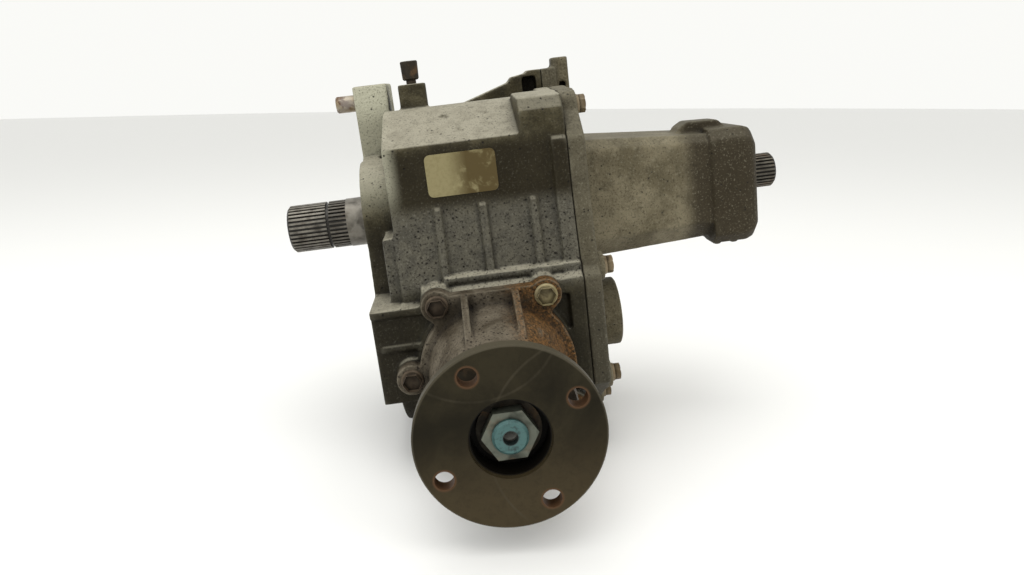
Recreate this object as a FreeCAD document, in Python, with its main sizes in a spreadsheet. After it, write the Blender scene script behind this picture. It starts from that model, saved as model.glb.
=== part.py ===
# Front differential transfer unit.
# A hollow splined input shaft drives a countershaft through a pair of helical gears.
# The countershaft turns a bevel pinion, and a companion flange on the pinion shaft
# takes the drive to the rear axle. A solid intermediate shaft for the right-hand wheel
# runs through the hollow shaft and out of the long extension housing.
#
# Origin: on the input shaft's axis, in the plane of the mounting face.
# +X runs along the shafts to the right, +Y to the rear (the flange faces -Y), +Z up.
# All lengths are millimetres.

import FreeCAD
import Part
import math
import os
import Sketcher

Vector = FreeCAD.Vector
Rotation = FreeCAD.Rotation

doc = FreeCAD.newDocument("transfer_unit")


# Driving dimensions

DIMENSIONS = [
    # Shaft axes
    ("axis_drop", 104.5, "countershaft and pinion axis below the input axis"),
    ("pinion_station", 87.2, "pinion axis from the mounting face"),
    # Main case
    ("case_wall", 7.0, "wall of the castings"),
    ("body_start", 24.0, "left wall of the gear drum from the mounting face"),
    ("split_plane", 157.0, "joint face between main case and extension housing"),
    ("drum_radius", 84.0, "outside of the drum round the drive gear"),
    ("sump_radius", 68.0, "outside of the sump round the countershaft"),
    ("front_wall", 76.0, "front wall in front of the input axis"),
    ("ridge_height", 59.0, "edge between front wall and roof"),
    ("lower_front", 87.0, "front wall where it meets the shelf above the pinion housing"),
    ("shelf_height", 40.0, "underside of that shelf below the input axis"),
    ("ledge_height", 52.0, "top of the lower block below the input axis"),
    ("block_front", 100.0, "machined seat of the pinion housing"),
    ("block_bottom", 125.0, "underside of the lower block below the input axis"),
    ("joint_flange", 12.0, "thickness of the case flange at the joint face"),
    ("joint_rim", 4.0, "how far the joint flange stands out past the walls"),
    ("boss_radius", 48.0, "input boss at the mounting face"),
    ("ear_width", 50.0, "mounting ear, front to back"),
    ("ear_front", 18.0, "front of the mounting ear behind the input axis"),
    ("ear_top", 106.0, "top of the mounting ear"),
    ("ear_depth", 28.0, "mounting ear along the shaft"),
    ("rib_height", 4.0, "how far the front ribs stand out"),
    ("rib_width", 5.5, "width of the front ribs"),
    # Extension housing
    ("cover_thickness", 13.0, "plate of the extension housing"),
    ("tube_end", 276.0, "end of the tapered tube from the mounting face"),
    ("tube_root_height", 47.0, "half height of the tube at the plate"),
    ("tube_tip_height", 41.0, "half height of the tube at its end"),
    ("tube_root_depth", 52.0, "half depth of the tube at the plate"),
    ("tube_tip_depth", 41.0, "half depth of the tube at its end"),
    ("end_block_length", 34.0, "end block that carries the support bearing"),
    ("end_block_half", 46.0, "half height of the end block"),
    ("counter_boss_radius", 29.0, "countershaft boss on the cover"),
    ("counter_boss_length", 26.0, "how far that boss stands out of the plate"),
    # Input shaft
    ("input_radius", 20.0, "bearing seats of the hollow shaft"),
    ("input_journal_radius", 19.5, "plain journal in front of the mounting face"),
    ("input_spline_radius", 19.0, "input spline over its teeth"),
    ("input_bore", 14.8, "bore of the hollow shaft"),
    ("input_reach", 64.0, "input shaft in front of the mounting face"),
    ("input_spline_length", 47.0, "length of the input spline"),
    ("spline_depth", 1.3, "depth of the spline grooves"),
    # Intermediate shaft
    ("inner_radius", 12.5, "intermediate shaft"),
    ("inner_spline_radius", 14.0, "output spline of the intermediate shaft"),
    ("inner_end", 336.0, "right end of the intermediate shaft"),
    ("inner_spline_length", 20.0, "visible spline of the intermediate shaft"),
    # Gears
    ("gear_station", 47.0, "middle of the helical gears"),
    ("gear_width", 22.0, "face width of the helical gears"),
    ("drive_teeth", 32, "teeth of the drive gear"),
    ("driven_teeth", 23, "teeth of the driven gear"),
    ("helix_angle", 22.9, "helix angle of the helical gears in degrees"),
    ("gear_backlash", 0.25, "play between the helical teeth"),
    ("ring_teeth", 35, "teeth of the ring gear"),
    ("pinion_teeth", 15, "teeth of the bevel pinion"),
    ("ring_pitch_radius", 54.0, "outer pitch radius of the ring gear"),
    ("bevel_face", 16.0, "face width of the bevel gears"),
    ("bevel_backlash", 0.35, "play between the bevel teeth"),
    # Pinion and companion flange
    ("flange_face", 225.0, "front face of the companion flange from the input axis"),
    ("flange_radius", 58.0, "companion flange"),
    ("flange_thickness", 10.0, "disc of the companion flange"),
    ("flange_bolt_circle", 93.0, "bolt circle diameter of the companion flange"),
    ("flange_hole_radius", 6.0, "bolt holes of the companion flange"),
    ("flange_recess_radius", 23.8, "recess round the lock nut"),
    ("flange_recess_depth", 18.0, "depth of that recess"),
    ("flange_hub_radius", 21.0, "hub of the companion flange in the seal"),
    ("pinion_thread_radius", 11.0, "threaded end of the pinion shaft"),
    ("nut_across_flats", 30.0, "lock nut of the pinion shaft"),
    # Pinion housing
    ("housing_spigot", 44.0, "spigot radius of the pinion housing in the case"),
    ("housing_flange", 57.0, "round flange of the pinion housing"),
    ("housing_flange_thickness", 12.0, "thickness of that flange"),
    ("housing_nose", 186.0, "nose of the pinion housing from the input axis"),
    ("housing_nose_radius", 41.0, "nose radius of the pinion housing"),
    ("housing_bolt_circle", 66.0, "radius of the housing bolts about the pinion"),
    # Fasteners and fits
    ("bolt_radius", 4.0, "M8 bolts"),
    ("bolt_hole_radius", 4.5, "clearance holes for the M8 bolts"),
    ("running_clearance", 0.05, "radial play of bearings and seals"),
]


class Size:
    """A length that carries its number and the sheet expression that gives it."""

    def __init__(self, value, text):
        self.value = value
        self.text = text

    def __add__(self, other):
        other = size(other)
        return Size(self.value + other.value, f"({self.text} + {other.text})")

    def __sub__(self, other):
        other = size(other)
        return Size(self.value - other.value, f"({self.text} - {other.text})")

    def __mul__(self, other):
        other = size(other)
        return Size(self.value * other.value, f"({self.text} * {other.text})")

    def __truediv__(self, other):
        other = size(other)
        return Size(self.value / other.value, f"({self.text} / {other.text})")

    def __radd__(self, other):
        return size(other) + self

    def __rsub__(self, other):
        return size(other) - self

    def __rmul__(self, other):
        return size(other) * self

    def __neg__(self):
        return size(0) - self


def size(number):
    """Return a number as a Size, and a Size unchanged."""
    if isinstance(number, Size):
        return number
    return Size(float(number), f"({float(number):.6f})")


class Dimensions:
    """The driving dimensions by name."""


def make_sheet():
    """Write the driving dimensions into the sheet and return them by name."""
    sheet = doc.addObject("Spreadsheet::Sheet", "Dims")
    named = Dimensions()
    for row, (alias, value, note) in enumerate(DIMENSIONS, start=1):
        sheet.set(f"A{row}", note)
        sheet.set(f"B{row}", str(value))
        sheet.setAlias(f"B{row}", alias)
        setattr(named, alias, Size(float(value), f"Dims.{alias}"))
    doc.recompute()
    return named


D = make_sheet()

# Directions of a turned part's axis: its local X axis points along the name
ALONG = {
    "+X": Rotation(),
    "-X": Rotation(Vector(0, 0, 1), 180),
    "-Y": Rotation(Vector(0, 0, 1), -90),
    "+Y": Rotation(Vector(0, 0, 1), 90),
    "+Z": Rotation(Vector(0, 1, 0), -90),
    "-Z": Rotation(Vector(0, 1, 0), 90),
}
INPUT_AXIS = (0, 0, 0)
COUNTER_AXIS = (0, 0, -D.axis_drop)
PINION_AXIS = (D.pinion_station, 0, -D.axis_drop)

finished = []


# Helpers for documents, sketches and features

def bind(thing, path, length):
    """Bind one property of an object to a named size."""
    thing.setExpression(path, size(length).text)


def place(thing, base=(0, 0, 0), turn=None):
    """Place an object at named sizes."""
    base = [size(part) for part in base]
    rotation = turn if turn is not None else Rotation()
    thing.Placement = FreeCAD.Placement(Vector(*[part.value for part in base]), rotation)
    for letter, part in zip("xyz", base):
        if part.text.startswith("(") or part.text.startswith("Dims"):
            bind(thing, f".Placement.Base.{letter}", part)


def finish(thing, node):
    """Give a finished sub-part its name."""
    thing.Label = node
    finished.append(thing)
    return thing


def new_body(name, base=(0, 0, 0), turn=None):
    body = doc.addObject("PartDesign::Body", name)
    place(body, base, turn)
    return body


def new_sketch(body, plane, offset=0):
    """Start a sketch parallel to one of the body's own origin planes."""
    sketch = body.newObject("Sketcher::SketchObject", f"{body.Name}_sketch")
    support = next(item for item in body.Origin.OriginFeatures if item.Role == plane)
    sketch.AttachmentSupport = [(support, "")]
    sketch.MapMode = "FlatFace"
    bind(sketch, ".AttachmentOffset.Base.z", offset)
    return sketch


def fix_point(sketch, geometry, point, x, y):
    """Hold one point of a sketch at named coordinates."""
    for kind, length in (("DistanceX", size(x)), ("DistanceY", size(y))):
        index = sketch.addConstraint(Sketcher.Constraint(kind, geometry, point, length.value))
        sketch.setExpression(f"Constraints[{index}]", length.text)


def draw_outline(sketch, points):
    """Draw a closed outline of straight lines through named points."""
    points = [(size(x), size(y)) for x, y in points]
    corners = [Vector(x.value, y.value, 0) for x, y in points]
    first = sketch.GeometryCount
    count = len(points)
    for index in range(count):
        line = Part.LineSegment(corners[index], corners[(index + 1) % count])
        sketch.addGeometry(line, False)
    for index in range(count):
        after = first + (index + 1) % count
        sketch.addConstraint(Sketcher.Constraint("Coincident", first + index, 2, after, 1))
        fix_point(sketch, first + index, 1, *points[index])


def draw_circle(sketch, x, y, radius):
    x, y, radius = size(x), size(y), size(radius)
    circle = Part.Circle(Vector(x.value, y.value, 0), Vector(0, 0, 1), radius.value)
    geometry = sketch.addGeometry(circle, False)
    fix_point(sketch, geometry, 3, x, y)
    index = sketch.addConstraint(Sketcher.Constraint("Radius", geometry, radius.value))
    sketch.setExpression(f"Constraints[{index}]", radius.text)


def draw_flat_circle(sketch, radius, flat):
    """Draw a circle round the axis whose front is cut off straight at a distance."""
    radius, flat = size(radius), size(flat)
    reach = math.sqrt(radius.value ** 2 - flat.value ** 2)
    turn = math.atan2(reach, -flat.value)
    circle = Part.Circle(Vector(0, 0, 0), Vector(0, 0, 1), radius.value)
    arc = sketch.addGeometry(Part.ArcOfCircle(circle, -turn, turn), False)
    top = Vector(-flat.value, reach, 0)
    low = Vector(-flat.value, -reach, 0)
    chord = sketch.addGeometry(Part.LineSegment(top, low), False)
    sketch.addConstraint(Sketcher.Constraint("Coincident", arc, 2, chord, 1))
    sketch.addConstraint(Sketcher.Constraint("Coincident", chord, 2, arc, 1))
    sketch.addConstraint(Sketcher.Constraint("Coincident", arc, 3, -1, 1))
    sketch.addConstraint(Sketcher.Constraint("Vertical", chord))
    index = sketch.addConstraint(Sketcher.Constraint("Radius", arc, radius.value))
    sketch.setExpression(f"Constraints[{index}]", radius.text)
    index = sketch.addConstraint(Sketcher.Constraint("DistanceX", chord, 1, -flat.value))
    sketch.setExpression(f"Constraints[{index}]", f"-{flat.text}")


def pad(body, sketch, length, backwards=False):
    feature = body.newObject("PartDesign::Pad", f"{body.Name}_pad")
    feature.Profile = sketch
    feature.Reversed = backwards
    bind(feature, "Length", length)
    sketch.Visibility = False
    return feature


def pocket(body, sketch, depth, backwards=False):
    """Cut a sketch into the body, against the sketch's own direction unless backwards."""
    doc.recompute()
    before = body.Shape.Volume
    feature = body.newObject("PartDesign::Pocket", f"{body.Name}_pocket")
    feature.Profile = sketch
    feature.Reversed = backwards
    bind(feature, "Length", depth)
    doc.recompute()
    if body.Shape.Volume > before - 1:
        raise RuntimeError(f"a pocket of {body.Name} cuts nothing: {sketch.Name}")
    return feature


def pad_outline(body, plane, offset, points, length, backwards=False):
    sketch = new_sketch(body, plane, offset)
    draw_outline(sketch, points)
    return pad(body, sketch, length, backwards)


def pad_circle(body, plane, offset, centre, radius, length, backwards=False):
    sketch = new_sketch(body, plane, offset)
    draw_circle(sketch, centre[0], centre[1], radius)
    return pad(body, sketch, length, backwards)


def cut_circle(body, plane, offset, centre, radius, depth, backwards=False):
    sketch = new_sketch(body, plane, offset)
    draw_circle(sketch, centre[0], centre[1], radius)
    return pocket(body, sketch, depth, backwards)


def cut_circles(body, plane, offset, centres, radius, depth, backwards=False):
    sketch = new_sketch(body, plane, offset)
    for x, y in centres:
        draw_circle(sketch, x, y, radius)
    return pocket(body, sketch, depth, backwards)


def rectangle(x0, x1, y0, y1):
    return [(x0, y0), (x1, y0), (x1, y1), (x0, y1)]


def revolve(body, points, groove=False):
    """Turn an outline of (along the axis, radius) points round the body's X axis."""
    sketch = new_sketch(body, "XY_Plane")
    draw_outline(sketch, points)
    kind = "PartDesign::Groove" if groove else "PartDesign::Revolution"
    feature = body.newObject(kind, f"{body.Name}_turned")
    feature.Profile = sketch
    feature.ReferenceAxis = (sketch, ["H_Axis"])
    feature.Angle = 360
    return feature


def turned_part(node, base, direction, points):
    """Make a body of revolution in one step."""
    body = new_body(node, base, ALONG[direction])
    revolve(body, points)
    return finish(body, node)


def ring_points(start, end, inner, outer):
    return [(start, inner), (end, inner), (end, outer), (start, outer)]


# Shapes shared by the gears

def involute_half_angle(radius, base_radius, pitch_radius, pitch_half_angle):
    """Half of a tooth's angle at a radius, for an involute from the base circle."""
    def roll(at):
        pressure = math.acos(min(1.0, base_radius / at))
        return math.tan(pressure) - pressure
    return pitch_half_angle + roll(pitch_radius) - roll(max(radius, base_radius))


def tooth_outline(teeth, radii, half_angles, phase):
    """Polar points (radius, angle) of a whole gear, tooth after tooth."""
    points = []
    for tooth in range(teeth):
        middle = phase + 2 * math.pi * tooth / teeth
        for radius, half in zip(radii, half_angles):
            points.append((radius, middle - half))
        for radius, half in reversed(list(zip(radii, half_angles))):
            points.append((radius, middle + half))
    return points


def wire_at(station, points, turn=0.0):
    """A closed wire of polar points in the plane X = station."""
    corners = []
    for radius, angle in points:
        corners.append(Vector(station, radius * math.cos(angle + turn), radius * math.sin(angle + turn)))
    return Part.makePolygon(corners + corners[:1])


def code_part(node, shape, base=(0, 0, 0), turn=None):
    """Keep a shape that neither a sketch nor a primitive gives as a sub-part."""
    feature = doc.addObject("Part::Feature", node)
    feature.Shape = shape
    place(feature, base, turn)
    return finish(feature, node)


def along_x(radius, start, end):
    return Part.makeCylinder(radius, end - start, Vector(start, 0, 0), Vector(1, 0, 0))


# Helical gears

HELICAL_PITCH = D.axis_drop / (D.drive_teeth + D.driven_teeth)


def helical_gear(node, teeth, hand, phase, base, bore):
    """A helical gear whose teeth are lofted through twisted sections."""
    pitch = teeth * HELICAL_PITCH.value
    module = 2 * HELICAL_PITCH.value
    helix = math.radians(D.helix_angle.value)
    normal_module = module * math.cos(helix)
    pressure = math.atan(math.tan(math.radians(20)) / math.cos(helix))
    base_radius = pitch * math.cos(pressure)
    tip = pitch + normal_module
    root = pitch - 1.25 * normal_module
    half_pitch = math.pi / (2 * teeth) - D.gear_backlash.value / (4 * pitch)
    radii = [root, pitch, tip]
    halves = [involute_half_angle(r, base_radius, pitch, half_pitch) for r in radii]
    outline = tooth_outline(teeth, radii, halves, phase)
    width = D.gear_width.value
    twist = hand * width * math.tan(helix) / pitch
    middle = D.gear_station.value
    stations = [-0.5, 0.0, 0.5]
    sections = [wire_at(middle + s * width, outline, s * twist) for s in stations]
    solid = Part.makeLoft(sections, True, True)
    hub = along_x(root - 2.0, middle - 0.5 * width - 1.0, middle + 0.5 * width + 1.0)
    hole = along_x(bore, middle - width, middle + width)
    return code_part(node, solid.fuse(hub).cut(hole), base)


# Bevel gears

def bevel_numbers():
    """Cone distance and pitch cone angles of the bevel pair."""
    ring_cone = math.atan(D.ring_teeth.value / D.pinion_teeth.value)
    pinion_cone = math.pi / 2 - ring_cone
    cone_distance = D.ring_pitch_radius.value / math.sin(ring_cone)
    module = 2 * D.ring_pitch_radius.value / D.ring_teeth.value
    return ring_cone, pinion_cone, cone_distance, module


def bevel_teeth(teeth, cone, phase):
    """Teeth whose every line runs to the apex, as a solid pointing along +X."""
    _, _, cone_distance, module = bevel_numbers()
    pitch = cone_distance * math.sin(cone)
    virtual = pitch / math.cos(cone)
    base_radius = virtual * math.cos(math.radians(20))
    half_pitch = (math.pi * module / 2 - D.bevel_backlash.value / 2) / (2 * virtual)
    radii = []
    halves = []
    reach = cone_distance * math.cos(cone)
    for height in (-1.2, -0.4, 0.4, 1.0):
        at = virtual + height * module
        half = involute_half_angle(at, base_radius, virtual, half_pitch)
        radii.append(reach * math.tan(cone + math.atan(height * module / cone_distance)))
        halves.append(half / math.cos(cone))
    outline = tooth_outline(int(teeth), radii, halves, phase)
    inner = (cone_distance - D.bevel_face.value - 4.0) / cone_distance
    outer = 1.12
    sections = []
    for scale in (inner, outer):
        scaled = [(radius * scale, angle) for radius, angle in outline]
        sections.append(wire_at(reach * scale, scaled))
    return Part.makeLoft(sections, True, True)


def blank(points):
    """A solid of revolution round X from (along, radius) points."""
    corners = [Vector(along, radius, 0) for along, radius in points]
    face = Part.Face(Part.makePolygon(corners + corners[:1]))
    return face.revolve(Vector(0, 0, 0), Vector(1, 0, 0), 360)


# Bearings

ROLLERS = 12
ROLLER_SIDES = 10
ROLLER_TILT = 14.0
ROLLER_HALF_ANGLE = 2.4
ROLLER_SHARE = 0.56
CAGE_SHARE = 0.42
CAGE_WALL = 1.4
WINDOW_PLAY = 0.3
CUP_SETBACK = 3.5
CONE_SETBACK = 1.0
RIB_WIDTH = 2.0
LARGE_RIB = 2.2
SMALL_RIB = 1.0


def roller(length, tilt, half_angle, apex, grow):
    """One roller in the XY plane, as a prism that tapers to the bearing's apex."""
    middle = apex / math.cos(math.radians(tilt))
    wires = []
    for step in (-0.5, 0.5):
        along = middle + step * length
        across = along * math.tan(math.radians(half_angle)) + grow
        ring = []
        for side in range(ROLLER_SIDES):
            turn = 2 * math.pi * side / ROLLER_SIDES
            ring.append(Vector(along, across * math.cos(turn), across * math.sin(turn)))
        wires.append(Part.makePolygon(ring + ring[:1]))
    solid = Part.makeLoft(wires, True, True)
    solid.rotate(Vector(0, 0, 0), Vector(0, 0, 1), tilt)
    solid.translate(Vector(-apex, 0, 0))
    return solid


def tapered_bearing(node, base, direction, bore, outside, width):
    """Cup, cone and roller set of a tapered bearing. Its wide side points along direction."""
    bore, outside, width = size(bore), size(outside), size(width)
    apex = (bore + outside) / 2 / math.tan(math.radians(ROLLER_TILT))
    play = D.running_clearance
    outer_slope = math.tan(math.radians(ROLLER_TILT + ROLLER_HALF_ANGLE))
    inner_slope = math.tan(math.radians(ROLLER_TILT - ROLLER_HALF_ANGLE))
    back = -width / 2
    front = width / 2

    cup_front = front - CUP_SETBACK
    cup = [
        (back, (back + apex) * outer_slope + play),
        (cup_front, (cup_front + apex) * outer_slope + play),
        (cup_front, outside),
        (back, outside),
    ]
    turned_part(f"{node}_cup", base, direction, cup)

    cone_back = back + CONE_SETBACK
    small_rib = cone_back + RIB_WIDTH
    large_rib = front - RIB_WIDTH
    cone = [
        (cone_back, bore),
        (front, bore),
        (front, (front + apex) * inner_slope + LARGE_RIB),
        (large_rib, (large_rib + apex) * inner_slope + LARGE_RIB),
        (large_rib, (large_rib + apex) * inner_slope - play),
        (small_rib, (small_rib + apex) * inner_slope - play),
        (small_rib, (small_rib + apex) * inner_slope + SMALL_RIB),
        (cone_back, (cone_back + apex) * inner_slope + SMALL_RIB),
    ]
    turned_part(f"{node}_cone", base, direction, cone)

    length = ROLLER_SHARE * width.value
    tilt = math.radians(ROLLER_TILT)
    one = roller(length, ROLLER_TILT, ROLLER_HALF_ANGLE, apex.value, 0.0)
    window = roller(length + 2 * WINDOW_PLAY, ROLLER_TILT, ROLLER_HALF_ANGLE, apex.value, WINDOW_PLAY)
    reach = CAGE_SHARE * width.value
    near = (apex.value - reach) * math.tan(tilt)
    far = (apex.value + reach) * math.tan(tilt)
    half_wall = CAGE_WALL / 2
    cage = blank([
        (-reach, near - half_wall),
        (reach, far - half_wall),
        (reach, far + half_wall),
        (-reach, near + half_wall),
    ])
    solids = []
    windows = []
    for index in range(ROLLERS):
        turn = 360.0 * index / ROLLERS
        for shape, group in ((one, solids), (window, windows)):
            turned = shape.copy()
            turned.rotate(Vector(0, 0, 0), Vector(1, 0, 0), turn)
            group.append(turned)
    cage = cage.cut(windows)
    code_part(f"{node}_rollers", Part.makeCompound([cage] + solids), base, ALONG[direction])


def at(axis, along_x=0, along_y=0, along_z=0):
    """A point moved from a point on one of the shaft axes."""
    return (size(axis[0]) + along_x, size(axis[1]) + along_y, size(axis[2]) + along_z)


# Where the bearings sit

INPUT_LEFT = D.body_start - 5
INPUT_RIGHT = D.split_plane - 9
COUNTER_LEFT = D.body_start - 2
COUNTER_RIGHT = D.split_plane + 23
INPUT_BEARING = (D.input_radius, 40, 18)
COUNTER_LEFT_BEARING = (15, 31, 16)
COUNTER_RIGHT_BEARING = (12.5, 24, 16)
HEAD_BEARING = (17.5, 38, 21)
TAIL_BEARING = (15, 33, 18)
HEAD_STATION = size(76)
TAIL_STATION = D.housing_nose - 28


# Ring gear, companion flange and lock nut

RING_BOLTS = 8
RING_BOLT_CIRCLE = 29.0
RING_BOLT = size(3)
RING_DEPTH = size(40)
RING_FLANGE = size(7)
RING_SEAT = size(17)
DRIVEN_GEAR_SEAT = size(19)
END_PLAY = size(1)
FLANGE_FLOOR = D.flange_face - D.flange_recess_depth
FLANGE_HOLES = 4
FLANGE_HOLE_ANGLE = 26.0
NUT_HEIGHT = size(10)
WASHER_THICKNESS = size(3)
INPUT_SPLINE_COUNT = 35
INNER_SPLINE_COUNT = 28
RELIEF_DEPTH = size(0.8)

# Pinion housing

HOUSING_BOLT_ANGLES = (53, 125, 178, 250, 322)
INNER_BOLT_ANGLE = 178
INNER_BOLT_SHIFT = size(3.5)
O_RING_DEPTH = size(2.4)
O_RING_WIDTH = size(3.2)
EAR_RADIUS = size(11.5)
RIB_OFFSET = size(18)
HOUSING_RIB = size(5)

# Joint face

JOINT_BOSS = size(11)
JOINT_DOWEL = size(3.5)
JOINT_DOWEL_HALF = size(8)
JOINT_DOWEL_PLACES = ((77.5, -35), (-76, -100))
REAR_LUG_FRONT = size(44)
REAR_LUG_DEPTH = size(22)

# Main case

SHIM = size(1)
PLUG_PLACES = ((110, 82, -58), (62, 68, -136))
PLUG_BOSS = size(14)
PLUG_BOSS_LENGTH = size(20)
PLUG_RADIUS = size(9)
PLUG_WASHER = size(1.5)
MOUNT_FLANGE = size(14)
MOUNT_REAR = size(94)
MOUNT_HOLE = size(5.25)
TAPPED_HOLE = size(4.25)
BREATHER_X = size(48)
BREATHER_Y = size(20)
BREATHER_SEAT = size(103)
BREATHER_STEM = size(4)
RIB_STATIONS = (58, 91, 128)
DOWEL_PLACE = (38, 93)
DOWEL_RADIUS = size(6.8)
DOWEL_SHANK = size(6)
DOWEL_SEAT = size(14)
DOWEL_REACH = size(17)

# Extension housing, seals and bolt heads

INPUT_SEAL = size(29)
SHAFT_SEAL = size(30)
RAISED_SEAT = size(5)
END_ROUND = size(10)
END_CORNER = size(13)
COLLAR_HEIGHT = size(1.6)
COLLAR_RADIUS = size(8.5)
HEAD_FLATS = size(12)
HEAD_HEIGHT = size(7)


def make_tapered_bearings():
    tapered_bearing("input_left_bearing", at(INPUT_AXIS, INPUT_LEFT), "+X", *INPUT_BEARING)
    tapered_bearing("input_right_bearing", at(INPUT_AXIS, INPUT_RIGHT), "-X", *INPUT_BEARING)
    tapered_bearing("counter_left_bearing", at(COUNTER_AXIS, COUNTER_LEFT), "+X", *COUNTER_LEFT_BEARING)
    tapered_bearing("counter_right_bearing", at(COUNTER_AXIS, COUNTER_RIGHT), "-X", *COUNTER_RIGHT_BEARING)
    tapered_bearing("pinion_head_bearing", at(PINION_AXIS, 0, -HEAD_STATION), "+Y", *HEAD_BEARING)
    tapered_bearing("pinion_tail_bearing", at(PINION_AXIS, 0, -TAIL_STATION), "-Y", *TAIL_BEARING)


def turned_ring(node, base, direction, start, end, inner, outer):
    return turned_part(node, base, direction, ring_points(start, end, inner, outer))


# Support bearing of the intermediate shaft, a cylindrical roller bearing

SUPPORT_START = D.tube_end + 6
SUPPORT_WIDTH = size(16)
SUPPORT_BORE = D.inner_radius + 1
SUPPORT_OUTSIDE = size(31)
SUPPORT_RACE = size(4)


def make_support_bearing():
    end = SUPPORT_START + SUPPORT_WIDTH
    outer_race = SUPPORT_OUTSIDE - SUPPORT_RACE
    inner_race = SUPPORT_BORE + SUPPORT_RACE
    turned_ring("support_bearing_outer_race", INPUT_AXIS, "+X", SUPPORT_START, end, outer_race, SUPPORT_OUTSIDE)
    turned_ring("support_bearing_inner_race", INPUT_AXIS, "+X", SUPPORT_START, end, SUPPORT_BORE, inner_race)
    radius = (outer_race - inner_race).value / 2 - D.running_clearance.value
    middle = (outer_race + inner_race).value / 2
    start = SUPPORT_START.value + 3.0
    stop = end.value - 3.0
    cage = along_x(middle + CAGE_WALL / 2, start - 1.5, stop + 1.5)
    cage = cage.cut(along_x(middle - CAGE_WALL / 2, start - 2, stop + 2))
    solids = []
    windows = []
    for index in range(ROLLERS):
        turn = 2 * math.pi * index / ROLLERS
        centre = Vector(0, middle * math.cos(turn), middle * math.sin(turn))
        for extra, group in ((0.0, solids), (WINDOW_PLAY, windows)):
            rings = []
            for station in (start - extra, stop + extra):
                corners = []
                for side in range(ROLLER_SIDES):
                    angle = turn + 2 * math.pi * side / ROLLER_SIDES
                    across = radius + extra
                    offset = Vector(station, across * math.cos(angle), across * math.sin(angle))
                    corners.append(centre + offset)
                rings.append(Part.makePolygon(corners + corners[:1]))
            group.append(Part.makeLoft(rings, True, True))
    cage = cage.cut(windows)
    code_part("support_bearing_rollers", Part.makeCompound([cage] + solids))


# Shafts and gears

def spline_cutter(outer, depth, count, start, end):
    """Grooves of a spline as one fan of wedges, for cutting a shaft along X."""
    cutters = []
    half = math.pi / count * 0.5
    for index in range(count):
        middle = 2 * math.pi * index / count
        root = outer - depth
        over = outer + 0.5
        points = [
            (root, middle - 0.55 * half),
            (over, middle - 1.25 * half),
            (over, middle + 1.25 * half),
            (root, middle + 0.55 * half),
        ]
        profile = Part.Face(wire_at(start, points))
        cutters.append(profile.extrude(Vector(end - start, 0, 0)))
    return cutters


def splined(node, shaft_shape, outer, depth, count, start, end):
    shape = shaft_shape.cut(spline_cutter(outer, depth, count, start, end))
    return code_part(node, shape)


def make_input_shaft():
    """Hollow shaft: external spline, groove, seal journal, bearing seats and gear seat."""
    spline_start = -D.input_reach
    spline_end = spline_start + D.input_spline_length
    groove = spline_end - 15
    outer = D.input_radius
    journal = D.input_journal_radius
    spline = D.input_spline_radius
    gear_seat = outer + 4
    gear_start = D.gear_station - D.gear_width / 2 - 1
    gear_end = D.gear_station + D.gear_width / 2 + 1
    shaft_end = INPUT_RIGHT + 10
    left_seat = INPUT_LEFT + 9
    right_seat = INPUT_RIGHT - 9
    body = new_body("input_shaft_blank", INPUT_AXIS)
    revolve(body, [
        (spline_start, D.input_bore),
        (spline_start, spline - 2),
        (spline_start + 2, spline),
        (groove - 1.2, spline),
        (groove - 1.2, spline - 1.5),
        (groove + 1.2, spline - 1.5),
        (groove + 1.2, spline),
        (spline_end, spline),
        (spline_end, journal),
        (0, journal),
        (0, journal - RELIEF_DEPTH),
        (RELIEF_DEPTH, journal - RELIEF_DEPTH),
        (RELIEF_DEPTH, outer),
        (left_seat, outer),
        (left_seat, gear_seat),
        (gear_start, gear_seat),
        (gear_end, gear_seat),
        (gear_end, outer + 7),
        (gear_end + 4, outer + 7),
        (gear_end + 4, outer + 3),
        (right_seat, outer + 3),
        (right_seat, outer),
        (shaft_end, outer),
        (shaft_end, D.input_bore),
    ])
    doc.recompute()
    start = spline_start.value - 1
    splined("input_shaft", body.Shape, spline.value, D.spline_depth.value, INPUT_SPLINE_COUNT, start,
            spline_end.value)
    return gear_seat


def make_intermediate_shaft():
    """Solid shaft: left spline inside the hollow shaft, bearing seat, output spline."""
    end = D.inner_end
    outer = D.inner_radius
    seat_start = SUPPORT_START
    seat_end = SUPPORT_START + SUPPORT_WIDTH
    spline_start = end - D.inner_spline_length - 6
    body = new_body("intermediate_shaft_blank", INPUT_AXIS)
    revolve(body, [
        (-D.input_reach + 6, 0),
        (-D.input_reach + 6, outer - 1),
        (-D.input_reach + 7, outer),
        (seat_start - 6, outer),
        (seat_start - 6, outer + 4),
        (seat_start, outer + 4),
        (seat_start, outer + 1),
        (seat_end, outer + 1),
        (spline_start, outer + 1),
        (spline_start, D.inner_spline_radius),
        (end - 2, D.inner_spline_radius),
        (end, D.inner_spline_radius - 2),
        (end, 3),
        (end - 6, 0),
    ])
    doc.recompute()
    splined("intermediate_shaft", body.Shape, D.inner_spline_radius.value, D.spline_depth.value,
            INNER_SPLINE_COUNT, spline_start.value - 0.5, end.value + 1)


def ring_bolt_places():
    """(Y, Z) of the ring gear bolts, from the countershaft's axis."""
    places = []
    for index in range(RING_BOLTS):
        turn = 2 * math.pi * index / RING_BOLTS
        places.append((RING_BOLT_CIRCLE * math.cos(turn), RING_BOLT_CIRCLE * math.sin(turn)))
    return places


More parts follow.
